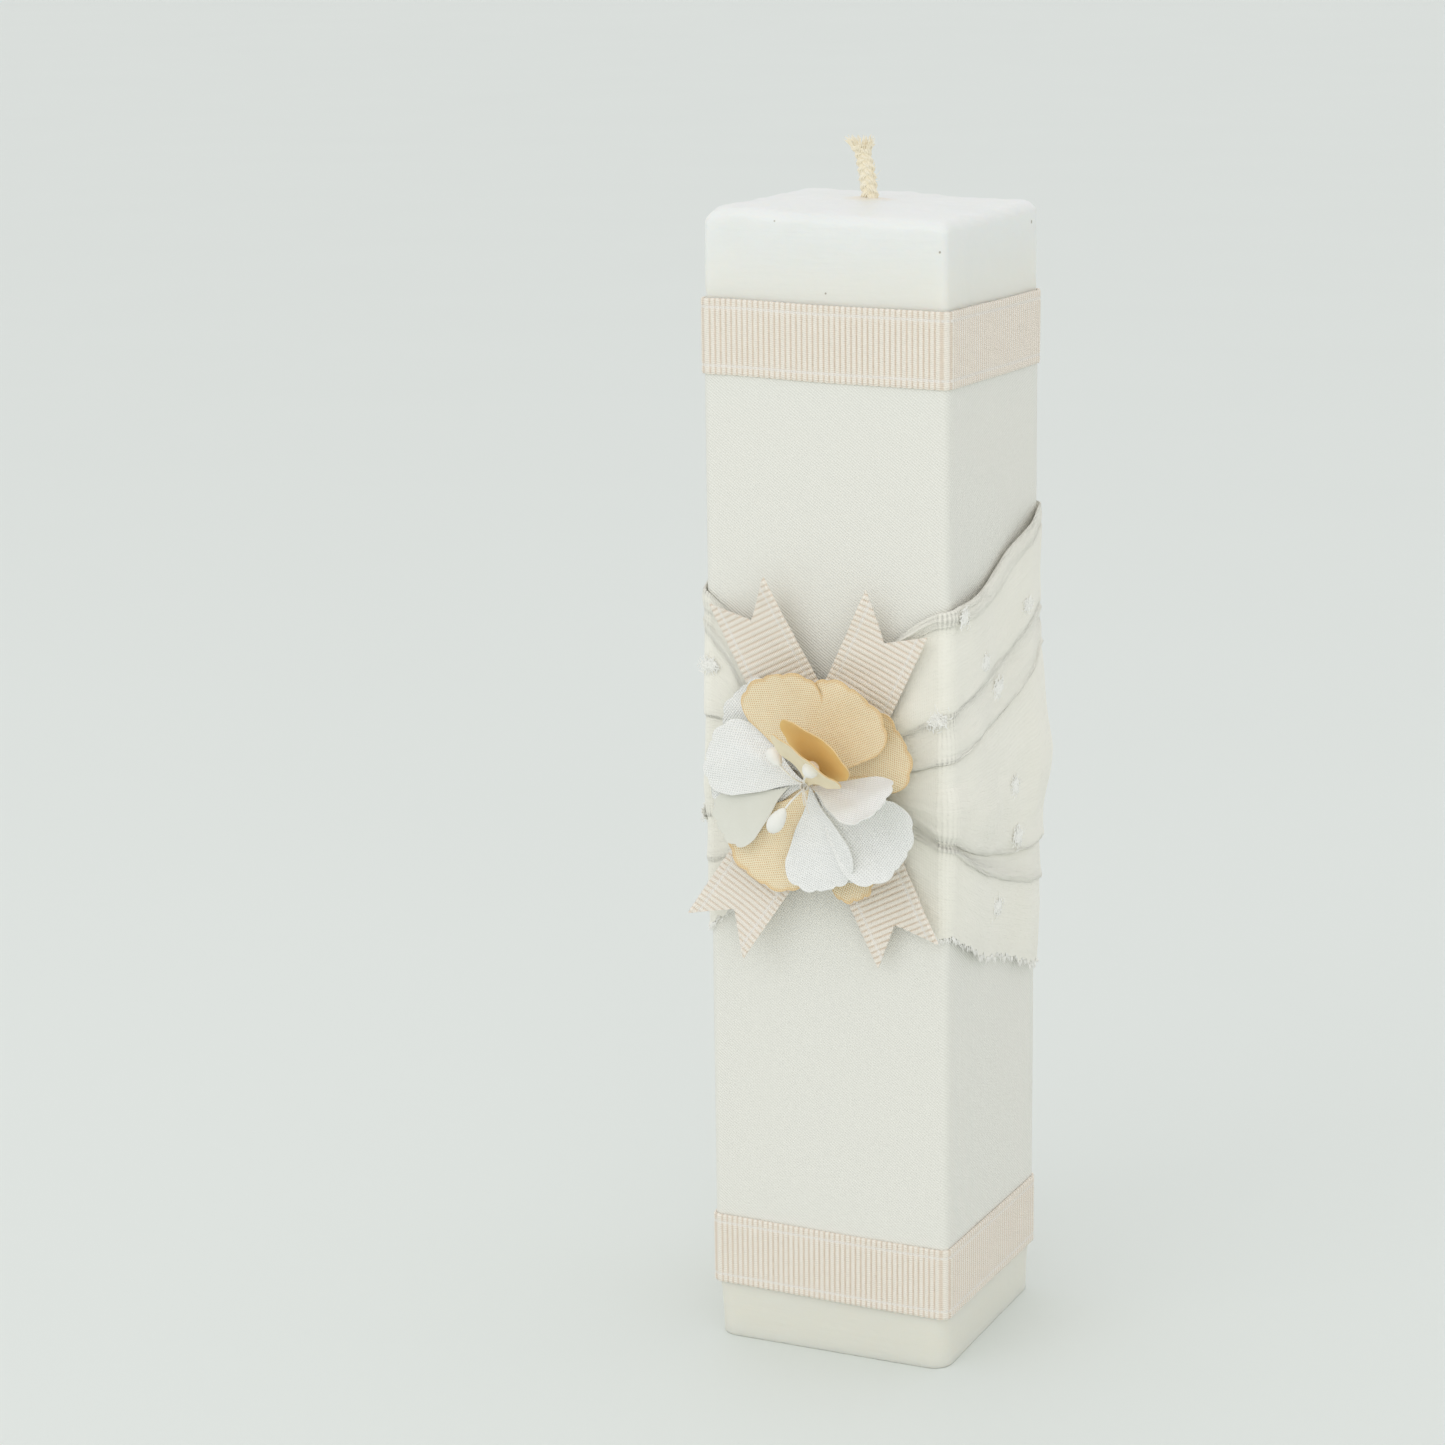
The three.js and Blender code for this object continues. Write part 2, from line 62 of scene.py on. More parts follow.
WAX_HIGH = node_box("wax_pillar")[1]
SATIN_LOW, SATIN_HIGH = node_box("satin_wrap")
WICK_LOW, WICK_HIGH = node_box("wick")
FLORET_LOW, FLORET_HIGH = node_box("floret_gold_back")
HALF = WAX_HIGH[0]
CORNER = 1.2
FLAT = 2 * (HALF - CORNER)
SIDE = FLAT + CORNER * math.pi / 2
GIRTH = 4 * SIDE
SEAM = GIRTH / 2
SATIN_THICKNESS = 0.25
SATIN_GAP = 0.1
SATIN_OUTER = SATIN_GAP + SATIN_THICKNESS
SATIN_OVERLAP = 8.0
SEAM_RIDGE = 0.45
RIBBON_WIDTH = 14.6
RIBBON_BASE = 0.28
RIB_PITCH = 1.13
RIB_HEIGHT = 0.24
SELVAGE = 1.7
BAND_OVERLAP = 10.0
# How much each band's height changes per millimetre towards +X and towards +Y.
BAND_TILT = {"upper_ribbon_band": (-0.026, 0.0), "lower_ribbon_band": (-0.012, -0.014)}
TAIL_NOTCH = 6.7
VOILE_THICKNESS = 0.22
SASH_RUN = 150  # from the sash's top edge to its hem, on the scale that its material is drawn to
PETAL_THICKNESS = 0.24
TOP_MIDDLE = WAX_HIGH[2] - 1.5
TOP_TILT = (-0.041, 0.02)
TOP_DOME = 1.1
FLOWER = (FLORET_LOW + FLORET_HIGH) / 2
FLOWER[1] = FLORET_HIGH[1]

# ---- small tools ----


def ease(x, low, high):
    t = np.clip((np.asarray(x, float) - low) / (high - low), 0, 1)
    return t * t * (3 - 2 * t)


def lerp(a, b, t):
    return a + (b - a) * t


join = np.concatenate


def stack(*values):
    """The values side by side, along a new last axis."""
    return np.stack(values, -1)


def shares(count):
    """Shares of a line from 0 to 1, as a column."""
    return np.linspace(0, 1, count)[:, None]


def bezier(start, control, end, t):
    return start * (1 - t) ** 2 + 2 * control * t * (1 - t) + end * t**2


def run_along(line):
    """Each point's distance from the line's first point, along the line."""
    return join([[0], np.cumsum(np.linalg.norm(np.diff(line, axis=0), axis=1))])


def unit(vectors):
    return vectors / np.maximum(np.linalg.norm(vectors, axis=-1, keepdims=True), 1e-9)


def surface_normals(grid):
    return unit(np.cross(np.gradient(grid, axis=0), np.gradient(grid, axis=1)))


def ring_faces(rings, count):
    """Faces between closed rings of count points each, one ring after another."""
    index = np.arange(rings * count).reshape(rings, count)
    following = np.roll(index, -1, axis=1)
    return stack(index[:-1], following[:-1], following[1:], index[1:]).reshape(-1, 4)


def through(x, xs, ys):
    """A smooth curve through the points (xs, ys), read at x: cubic pieces that don't overshoot."""
    x, xs, ys = np.asarray(x, float), np.asarray(xs, float), np.asarray(ys, float)
    step = np.diff(xs)
    slope = np.diff(ys) / step
    tangent = join([[slope[0]], (slope[1:] + slope[:-1]) / 2, [slope[-1]]])
    flat = join([[False], slope[1:] * slope[:-1] <= 0, [False]])
    tangent[flat] = 0
    limit = 3 * np.minimum(np.abs(np.append(slope, slope[-1])), np.abs(np.insert(slope, 0, slope[0])))
    tangent = np.clip(tangent, -limit, limit)
    k = np.clip(np.searchsorted(xs, x, side="right") - 1, 0, len(xs) - 2)
    h = step[k]
    t = np.clip((x - xs[k]) / h, 0, 1)
    return (
        ys[k] * (2 * t**3 - 3 * t**2 + 1)
        + ys[k + 1] * (3 * t**2 - 2 * t**3)
        + tangent[k] * h * (t**3 - 2 * t**2 + t)
        + tangent[k + 1] * h * (t**3 - t**2)
    )


def spline(points, per_span):
    """Catmull-Rom through points, whose first axis is the order along the curve."""
    points = np.asarray(points, float)
    before = join([2 * points[:1] - points[1:2], points[:-2]])
    after = join([points[2:], 2 * points[-1:] - points[-2:-1]])
    rows = []
    for a, b, c, d in zip(before, points[:-1], points[1:], after):
        for t in np.arange(per_span) / per_span:
            square, cube = 2 * a - 5 * b + 4 * c - d, 3 * b - 3 * c + d - a
            rows.append(0.5 * (2 * b + (c - a) * t + square * t**2 + cube * t**3))
    rows.append(points[-1])
    return np.array(rows)


def ripple(x, y, seed, waves=7):
    """Smooth pseudo-random relief between about -1 and 1, with a wavelength near 1 in x and in y."""
    rng = np.random.default_rng(seed)
    total = 0
    for _ in range(waves):
        angle = rng.uniform(0, math.tau)
        scale = rng.uniform(0.6, 1.5) * math.tau
        along = x * math.cos(angle) + y * math.sin(angle)
        total = total + np.sin(scale * along + rng.uniform(0, math.tau))
    return total / math.sqrt(waves) / 1.4


def around(s, offset):
    """Points and outward normals of the candle's outline at distances s from the middle of the front
    face, towards +X, moved outwards by offset."""
    s, offset = np.broadcast_arrays(np.asarray(s, float), np.asarray(offset, float))
    t = np.mod(s + FLAT / 2, GIRTH)
    face = np.floor(t / SIDE)
    along = t - face * SIDE
    angle = np.maximum(0, along - FLAT) / CORNER
    nx, ny = np.sin(angle), -np.cos(angle)
    x = np.minimum(along, FLAT) - FLAT / 2 + nx * (CORNER + offset)
    y = CORNER - HALF + ny * (CORNER + offset)
    turn = face * math.pi / 2
    c, q = np.cos(turn), np.sin(turn)
    return stack(x * c - y * q, x * q + y * c), stack(nx * c - ny * q, nx * q + ny * c)


def over_satin(s):
    """How far the satin's outer face stands off the wax, with the ridge of its overlap at the back."""
    off = np.abs(np.mod(s, GIRTH) - SEAM)
    return SATIN_OUTER + SEAM_RIDGE * (1 - ease(off, 5, 8))


def build(name, points, faces, face_slots=None, flat=None, angle=50):
    """A smooth mesh object from points in millimetres, sharp where its faces meet at more than angle.
    flat gives each point's place on the uncut cloth."""
    mesh = bpy.data.meshes.new(name)
    faces = faces.tolist() if isinstance(faces, np.ndarray) else faces
    mesh.from_pydata((np.asarray(points) * MM).tolist(), [], faces)
    if face_slots is not None:
        mesh.polygons.foreach_set("material_index", np.asarray(face_slots, np.int32))
    if flat is not None:
        loops = np.empty(len(mesh.loops), np.int32)
        mesh.loops.foreach_get("vertex_index", loops)
        layer = mesh.uv_layers.new(name="cut")
        layer.data.foreach_set("uv", np.asarray(flat, np.float32)[loops].ravel())
    mesh.validate()
    for polygon in mesh.polygons:
        polygon.use_smooth = True
    mesh.set_sharp_from_angle(angle=math.radians(angle))
    obj = bpy.data.objects.new(name, mesh)
    bpy.context.scene.collection.objects.link(obj)
    return obj


def tag(obj, name, values):
    """Stores a number for each of the object's points, for its material to read."""
    layer = obj.data.attributes.new(name, "FLOAT", "POINT")
    layer.data.foreach_set("value", np.asarray(values, np.float32))


def sheet_parts(grid, thickness, flat):
    """Points, faces, face slots (0 outer, 1 inner, 2 cut edge) and flat places of a closed thin sheet."""
    columns, rows = grid.shape[:2]
    off = surface_normals(grid) * np.broadcast_to(thickness, (columns, rows))[..., None] / 2
    points = join([(grid + off).reshape(-1, 3), (grid - off).reshape(-1, 3)])
    index = np.arange(columns * rows).reshape(columns, rows)
    a, b, c, d = index[:-1, :-1], index[1:, :-1], index[1:, 1:], index[:-1, 1:]
    outer = stack(a, b, c, d).reshape(-1, 4)
    inner = stack(d, c, b, a).reshape(-1, 4) + columns * rows
    ring = join([index[:, 0], index[-1, 1:], index[-2::-1, -1], index[0, -2:0:-1]])
    following = np.roll(ring, -1)
    rim = stack(following, ring, ring + columns * rows, following + columns * rows)
    faces = join([outer, inner, rim])
    slots = np.repeat([0, 1, 2], [len(outer), len(inner), len(rim)])
    return points, faces, slots, join([flat.reshape(-1, 2)] * 2)


def join_parts(parts):
    """Several (points, faces, slots, flat) as one."""
    points, faces, slots, flats, start = [], [], [], [], 0
    for p, f, s, u in parts:
        points.append(p)
        faces.append(f + start)
        slots.append(s)
        flats.append(u)
        start += len(p)
    return join(points), join(faces), join(slots), join(flats)


def tube_parts(path, radius, sides=6, slot=0, across=(0.31, 0.17, 0.93)):
    """A closed round thread along path. Its section's first axis is square to the direction across."""
    path = np.asarray(path, float)
    count = len(path)
    radius = np.broadcast_to(radius, count)[:, None, None]
    tangent = np.gradient(path, axis=0)
    first = unit(np.cross(tangent, across))
    second = unit(np.cross(tangent, first))
    turn = np.arange(sides)[None, :, None] * math.tau / sides
    points = path[:, None] + radius * (np.cos(turn) * first[:, None] + np.sin(turn) * second[:, None])
    cap = np.array([[i, i + 1, sides - 2 - i, sides - 1 - i] for i in range(sides // 2 - 1)])
    faces = join([ring_faces(count, sides), cap[:, ::-1], cap + (count - 1) * sides])
    return points.reshape(-1, 3), faces, np.full(len(faces), slot), np.zeros((count * sides, 2))


# ---- materials ----


class Nodes:
    """Short ways to wire a material's nodes."""

    def __init__(self, name):
        self.material = bpy.data.materials.new(name)
        self.material.use_nodes = True
        self.tree = self.material.node_tree
        self.shader = self.tree.nodes["Principled BSDF"]

    def add(self, kind, inputs=None, **settings):
        """A new node with these settings, and with values or links in its inputs."""
        node = self.tree.nodes.new(kind)
        for key, value in settings.items():
            setattr(node, key, value)
        for key, value in (inputs or {}).items():
            self.link(value, node.inputs[key])
        return node

    def link(self, value, socket):
        if isinstance(value, bpy.types.NodeSocket):
            self.tree.links.new(value, socket)
        else:
            socket.default_value = value

    def math(self, operation, a, b=0.0, c=0.0):
        return self.add("ShaderNodeMath", {0: a, 1: b, 2: c}, operation=operation).outputs[0]

    def times(self, a, b):
        return self.math("MULTIPLY", a, b)

    def xyz(self, vector):
        return self.add("ShaderNodeSeparateXYZ", {0: vector}).outputs

    def cut(self):
        """The place on the uncut cloth, in millimetres, as x and y."""
        return self.xyz(self.add("ShaderNodeUVMap", uv_map="cut").outputs[0])

    def place(self):
        """The place in the row frame, in metres."""
        return self.add("ShaderNodeTexCoord").outputs["Object"]

    def noise(self, vector, scale, detail=3.0, roughness=0.5):
        inputs = {"Vector": vector, "Scale": scale, "Detail": detail, "Roughness": roughness}
        return self.add("ShaderNodeTexNoise", inputs).outputs["Fac"]

    def cloud(self, scale, detail):
        """Noise over the row frame."""
        return self.noise(self.place(), scale, detail)

    def stretched(self, *parts):
        """A vector whose parts are values, each times its factor."""
        inputs = {axis: self.times(value, factor) for axis, (value, factor) in enumerate(parts)}
        return self.add("ShaderNodeCombineXYZ", inputs).outputs[0]

    def distance(self, vector, point):
        return self.add("ShaderNodeVectorMath", {0: vector, 1: point}, operation="DISTANCE").outputs["Value"]

    def wave(self, value, pitch, phase=0.0):
        """A sine of value with that pitch, from 0 to 1."""
        turn = self.math("MULTIPLY_ADD", value, math.tau / pitch, phase)
        return self.math("MULTIPLY_ADD", self.math("SINE", turn), 0.5, 0.5)

    def mix(self, factor, a, b):
        a, b = ((*colour, 1) if isinstance(colour, tuple) else colour for colour in (a, b))
        return self.add("ShaderNodeMix", {0: factor, 6: a, 7: b}, data_type="RGBA").outputs[2]

    def ramp(self, value, low, high):
        inputs = {0: value, 1: low, 2: high}
        return self.add("ShaderNodeMapRange", inputs, interpolation_type="SMOOTHSTEP").outputs[0]

    def bump(self, height, distance, strength=1.0, normal=None):
        inputs = {"Strength": strength, "Distance": distance, "Height": height}
        if normal is not None:
            inputs["Normal"] = normal
        return self.add("ShaderNodeBump", inputs).outputs[0]

    def set(self, **values):
        for key, value in values.items():
            self.link(value, self.shader.inputs[key.replace("_", " ").title().replace("Ior", "IOR")])
        return self.material


# Dark flecks and nicks in the wax: (x, y, z) and radius, in millimetres.
WAX_MARKS = (
    ((-10.0, -25.0, 227.1), 0.2), ((0.5, -25.0, 213.7), 0.17), ((23.6, -25.0, 221.9), 0.2),
    ((24.9, -24.6, 226.6), 0.16), ((25.0, 21.1, 224.4), 0.3), ((15.0, 22.0, 229.4), 0.25),
)


def wax_material():
    n = Nodes("wax")
    place = n.place()
    x, y, height = n.xyz(place)
    cloud = n.noise(place, 90, 4)
    top_tone = n.mix(cloud, (0.825, 0.845, 0.825), (0.865, 0.88, 0.865))
    # Cooler at the top, warmer lower down.
    colour = n.mix(n.ramp(height, 0.209, 0.226), (0.86, 0.845, 0.77), top_tone)
    # Darker and warmer towards the floor: partly the wax's own tone, partly painted shade near the floor.
    colour = n.mix(n.ramp(height, 0.004, 0.03), (0.80, 0.785, 0.70), colour)
    from_wick = n.distance(place, (-0.0009, 0.0, TOP_MIDDLE * MM))
    colour = n.mix(n.ramp(from_wick, 0.0022, 0.0062), (0.84, 0.79, 0.69), colour)
    for centre, radius in WAX_MARKS:
        reach = n.distance(place, tuple(c * MM for c in centre))
        colour = n.mix(n.ramp(reach, radius * 0.6 * MM, radius * 1.6 * MM), (0.42, 0.38, 0.32), colour)
    scraped = n.stretched((x, 45.0), (y, 45.0), (height, 420.0))
    relief = n.bump(n.noise(scraped, 1.0, 4, 0.6), 0.0005, 0.35)
    relief = n.bump(n.noise(place, 420, 3), 0.0002, 0.35, relief)
    relief = n.bump(n.noise(place, 75, 3), 0.0016, 0.4, relief)
    return n.set(
        base_color=colour, roughness=0.42, subsurface_weight=0.35, subsurface_scale=0.006,
        subsurface_radius=(1.0, 0.85, 0.7), coat_weight=0.1, coat_roughness=0.3, normal=relief,
    )


def satin_material():
    """A fine twill: steep lines that lean one way, crossed by fainter ones, with slubs in the yarn."""
    n = Nodes("satin")
    u, v, _ = n.cut()
    drift = n.times(n.cloud(300, 2), 0.3)
    leaning = n.math("ADD", n.times(u, 0.75), v)
    twill = n.wave(n.math("ADD", leaning, drift), 0.62)
    crossing = n.wave(n.math("SUBTRACT", n.times(u, 1.1), n.times(v, 0.7)), 0.62)
    weave = n.math("MULTIPLY_ADD", crossing, 0.45, twill)
    tone = n.cloud(45, 2)
    colour = n.mix(n.ramp(weave, 0.1, 1.3), (0.79, 0.79, 0.725), (0.915, 0.92, 0.87))
    colour = n.mix(n.times(tone, 0.35), colour, (0.865, 0.855, 0.80))
    warmed = n.times(n.ramp(n.xyz(n.place())[2], 0.205, 0.186), 0.4)
    colour = n.mix(warmed, colour, (0.88, 0.855, 0.78))
    return n.set(
        base_color=colour, roughness=0.44, specular_ior_level=0.5, sheen_weight=0.25, sheen_roughness=0.4,
        anisotropic=0.3, normal=n.bump(weave, 0.00009, 0.7),
    )


def grosgrain_material():
    """Round cords under fine warp threads, with painted shade in the grooves between them, and a pale stitch
    line near each edge.
    """
    n = Nodes("blush_grosgrain")
    u, v, _ = n.cut()
    parity = n.wave(u, 2 * RIB_PITCH)
    warp = n.wave(n.math("ADD", v, n.times(parity, 0.2)), 0.4)
    groove_shade = n.ramp(n.wave(u, RIB_PITCH, -math.pi / 2), 0.25, 0.95)
    cloud = n.cloud(160, 3)
    colour = n.mix(cloud, (0.96, 0.885, 0.775), (1.0, 0.95, 0.865))
    colour = n.mix(n.times(warp, 0.25), colour, (0.87, 0.76, 0.63))
    # Painted shade: the grooves between the ribs are darkened.
    colour = n.mix(n.times(groove_shade, 0.65), colour, (0.80, 0.65, 0.50))
    from_edge = n.math("SUBTRACT", RIBBON_WIDTH / 2, n.math("ABSOLUTE", v))
    off_stitch = n.math("ABSOLUTE", n.math("SUBTRACT", from_edge, SELVAGE))
    dots = n.math("MULTIPLY_ADD", n.wave(u, RIB_PITCH / 2), 0.6, 0.4)
    stitch = n.times(n.ramp(off_stitch, 0.42, 0.12), dots)
    colour = n.mix(n.times(stitch, 0.8), colour, (0.985, 0.95, 0.90))
    fibre = n.math("MULTIPLY_ADD", n.cloud(3000, 2), 0.5, warp)
    return n.set(
        base_color=colour, roughness=0.28, specular_ior_level=0.95, sheen_weight=0.3, sheen_roughness=0.35,
        normal=n.bump(fibre, 0.00012, 0.8),
    )


def petal_material(name, dark, light, edge, pitch, strength):
    """Plain weave: threads over and under each other, its light and dark partly the weave's own pattern,
    partly painted highlights on the threads and painted shade in the gaps, with a band of the edge colour
    along the rim.
    """
    n = Nodes(name)
    u, v, _ = n.cut()
    wander = n.times(n.cloud(260, 2), 0.5)
    warp = n.math("COSINE", n.times(n.math("ADD", u, wander), math.tau / pitch))
    weft = n.math("COSINE", n.times(n.math("SUBTRACT", v, wander), math.tau / (pitch * 0.86)))
    weave = n.math("MULTIPLY_ADD", n.times(warp, weft), 0.5, 0.5)
    tone = n.cloud(220, 3)
    slub = n.cloud(900, 2)
    height = n.math("MULTIPLY_ADD", slub, 0.5, weave)
    # The weave's colour is partly painted: highlights on the threads, shade in the gaps.
    colour = n.mix(n.ramp(n.math("MULTIPLY_ADD", slub, 0.25, weave), 0.14, 0.56), dark, light)
    colour = n.mix(n.times(tone, 0.12), colour, dark)
    rim = n.add("ShaderNodeAttribute", attribute_name="rim").outputs["Fac"]
    colour = n.mix(n.times(rim, 0.7), colour, edge)
    return n.set(
        base_color=colour, roughness=0.38, specular_ior_level=0.6, sheen_weight=0.2, sheen_roughness=0.4,
        normal=n.bump(height, 0.00016, strength),
    )


def matte_material(name, low, high, scale=260, roughness=0.7, depth=0.00008):
    n = Nodes(name)
    tone = n.cloud(scale, 4)
    return n.set(
        base_color=n.mix(tone, low, high), roughness=roughness, specular_ior_level=0.35,
        normal=n.bump(n.cloud(scale * 8, 2), depth, 0.5),
    )


def voile_material():
    """A fine even cloth with soft folds and wrinkles that run round the candle."""
    n = Nodes("voile")
    u, v, _ = n.cut()
    grain = n.times(n.wave(u, 0.34), n.wave(v, 0.34))
    folds = n.noise(n.stretched((u, 0.1), (v, 0.55)), 1.0, 2)
    wrinkles = n.noise(n.stretched((u, 0.35), (v, 1.6)), 1.0, 3)
    tone = n.cloud(70, 3)
    colour = n.mix(tone, (0.90, 0.878, 0.78), (0.95, 0.93, 0.845))
    relief = n.bump(n.math("MULTIPLY_ADD", n.cloud(900, 4), 1.2, grain), 0.00007, 0.8)
    relief = n.bump(wrinkles, 0.0004, 0.4, relief)
    return n.set(
        base_color=colour, roughness=0.68, specular_ior_level=0.3, sheen_weight=0.35, sheen_roughness=0.5,
        normal=n.bump(folds, 0.0008, 0.4, relief),
    )


def metal_material():
    n = Nodes("sustainer_metal")
    tone = n.cloud(400, 4)
    return n.set(
        base_color=n.mix(tone, (0.5, 0.51, 0.52), (0.66, 0.67, 0.68)), metallic=1.0, roughness=0.35,
        normal=n.bump(tone, 0.00005, 0.5),
    )


WAX = wax_material()
SATIN = satin_material()
GROSGRAIN = grosgrain_material()
VOILE = voile_material()
TUFT = matte_material("voile_tuft", (0.93, 0.925, 0.88), (0.985, 0.98, 0.95), 900, 0.8)
# The light and dark colours of the two cloths are partly painted highlights on the threads and painted shade
# in the gaps.
GOLD = petal_material("gold_cloth", (0.74, 0.41, 0.14), (1.0, 0.89, 0.635), (0.86, 0.58, 0.26), 0.66, 0.8)
GOLD_BACK = matte_material("gold_cloth_back", (0.87, 0.75, 0.52), (0.93, 0.84, 0.64))
GOLD_EDGE = matte_material("gold_cloth_edge", (0.74, 0.50, 0.22), (0.84, 0.64, 0.36))
# Painted reflection: the saturated orange that light bouncing between gold cloth gives inside a fold, as a
# colour.
GOLD_PAINTED_BOUNCE = matte_material("gold_cloth_painted_bounce", (0.92, 0.62, 0.22), (0.97, 0.72, 0.32))
WHITE = petal_material("white_cloth", (0.74, 0.75, 0.73), (1.0, 1.0, 0.98), (0.97, 0.97, 0.94), 0.70, 0.9)
WHITE_BACK = matte_material("white_cloth_back", (0.73, 0.73, 0.65), (0.80, 0.80, 0.73))
WHITE_EDGE = matte_material("white_cloth_edge", (0.86, 0.86, 0.82), (0.92, 0.92, 0.9))
PEARL = matte_material("stamen_cotton", (0.90, 0.89, 0.84), (0.95, 0.94, 0.90), 500, 0.42, 0.00006)
THREAD = matte_material("thread", (0.84, 0.80, 0.72), (0.92, 0.88, 0.82), 1500, 0.6)
COTTON = matte_material("wick_cotton", (0.93, 0.83, 0.62), (1.0, 0.96, 0.84), 900, 0.75)
TIN = metal_material()
TAPE = matte_material("clear_tape", (0.86, 0.85, 0.80), (0.9, 0.89, 0.85), 300, 0.4)
GLUE = matte_material("hot_melt", (0.84, 0.82, 0.75), (0.9, 0.88, 0.82), 200, 0.35)


def dress(obj, node, slot, *materials):
    """Gives obj its materials, lets it ride on the candle, and puts it in the place of a CAD node."""
    for material in materials:
        obj.data.materials.append(material)
    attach(obj, BODY)
    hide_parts(node)
    return obj


# ---- wax pillar ----


def top_height(x, y):
    """Height of the wax's top: cut a little askew, slightly domed and wavy."""
    reach = np.maximum(np.abs(x), np.abs(y)) / HALF
    dome = TOP_DOME * (1 - reach**2)
    wavy = 0.25 * ripple(x / 22, y / 22, 3) + 0.1 * ripple(x / 6, y / 6, 4)
    dip = 0.9 * np.exp(-((x + HALF) ** 2 + (y + HALF) ** 2) / 14)
    return TOP_MIDDLE + TOP_TILT[0] * x + TOP_TILT[1] * y + dome + wavy - dip


def square_ring(half, radius, per_side, per_corner):
    """Points of a rounded square, starting at the middle of the right side."""
    turns = np.linspace(0, math.pi / 2, per_corner + 1)
    flats = np.linspace(-(half - radius), half - radius, per_side + 1)[1:-1]
    quarter = join([
        stack(half - radius + radius * np.cos(turns), half - radius + radius * np.sin(turns)),
        stack(-flats, np.full(len(flats), half)),
    ])
    rings = []
    for k in range(4):
        c, q = math.cos(k * math.pi / 2), math.sin(k * math.pi / 2)
        rings.append(quarter @ np.array([[c, q], [-q, c]]))
    return join(rings)


def wax_pillar():
    base_edge, top_edge, foot_radius, foot_top = 0.35, 2.0, 4.0, 20.0
    per_side, per_corner = 44, 8
    rings = []

    def ring(half, radius, z=None, lift=0.0):
        """One ring at height z, or on the tilted top, moved by lift."""
        xy = square_ring(half, min(radius, half * 0.98), per_side, per_corner)
        height = top_height(*xy.T) + lift if z is None else np.full(len(xy), z)
        rings.append(np.column_stack([xy, height]))

    for share in (0.25, 0.5, 0.75, 1.0):
        ring((HALF - base_edge) * share, foot_radius * share, 0)
    for turn in np.linspace(0, math.pi / 2, 6)[1:]:
        inset = base_edge * (1 - math.sin(turn))
        ring(HALF - inset, foot_radius, base_edge * (1 - math.cos(turn)))
    wall_top = TOP_MIDDLE - 7.5
    levels = [np.linspace(base_edge, foot_top, 16)[1:], np.linspace(foot_top, wall_top, 60)[1:]]
    for z in join(levels):
        ring(HALF, lerp(foot_radius, CORNER, float(ease(z, 0, foot_top))), z)
    for below in (2.4, 1.2):
        ring(HALF, CORNER, lift=-top_edge - below)
    for turn in np.linspace(0, math.pi / 2, 8):
        inset = top_edge * (1 - math.cos(turn))
        ring(HALF - inset, CORNER + 0.5 * inset, lift=-top_edge * (1 - math.sin(turn)))
    for share in np.linspace(1 - (top_edge + 0.7) / HALF, 0.12, 24):
        ring(HALF * share, CORNER + 1.2)
    points = join(rings)
    reach = np.abs(points[:, :2]).max(1)
    outward = points[:, :2] / np.maximum(reach, 1e-6)[:, None]
    walls = ease(points[:, 2], 25, 35) * (reach > HALF - top_edge)
    along = points[:, 0] - points[:, 1] + 2 * points[:, 0] * (points[:, 1] > 0)
    dent = 0.05 * ripple(along / 20, points[:, 2] / 20, 5)
    rim = ease(points[:, 2], TOP_MIDDLE - 9, TOP_MIDDLE - 2)
    dent = np.minimum(dent, 0) - rim * np.clip(0.1 + 0.16 * ripple(along / 7, points[:, 2] / 5, 6), 0, 0.3)
    points[:, :2] += outward * (dent * walls)[:, None]
    wick_x = -0.9
    near = np.hypot(points[:, 0] - wick_x, points[:, 1])
    top = (points[:, 2] > wall_top) & (reach < HALF - top_edge)
    points[:, 2] += top * 0.55 * np.exp(-((near / 3.6) ** 2))
    count = len(rings[0])
    faces = ring_faces(len(rings), count).tolist()
    last = (len(rings) - 1) * count
    bottom, summit = len(points), len(points) + 1
    peak = float(top_height(0.0, 0.0)) + 0.5
    points = join([points, [[0, 0, 0], [0, 0, peak]]])
    for i in range(count):
        j = (i + 1) % count
        faces.append([bottom, j, i])
        faces.append([summit, last + i, last + j])
    obj = build("wax_body", points, faces, angle=70)
    return dress(obj, "wax_pillar", "wax", WAX)


# ---- wick ----


def wick_line(t):
    """The middle of the wick's visible stub, from just inside the wax to the tip."""
    low = np.array([-0.55, 0.0, TOP_MIDDLE - 3.0])
    bend = np.array([-0.75, 0.0, TOP_MIDDLE + 6.0])
    tip = np.array([-2.7, 0.0, WICK_HIGH[2] - 1.9])
    return bezier(low, bend, tip, np.asarray(t)[..., None])


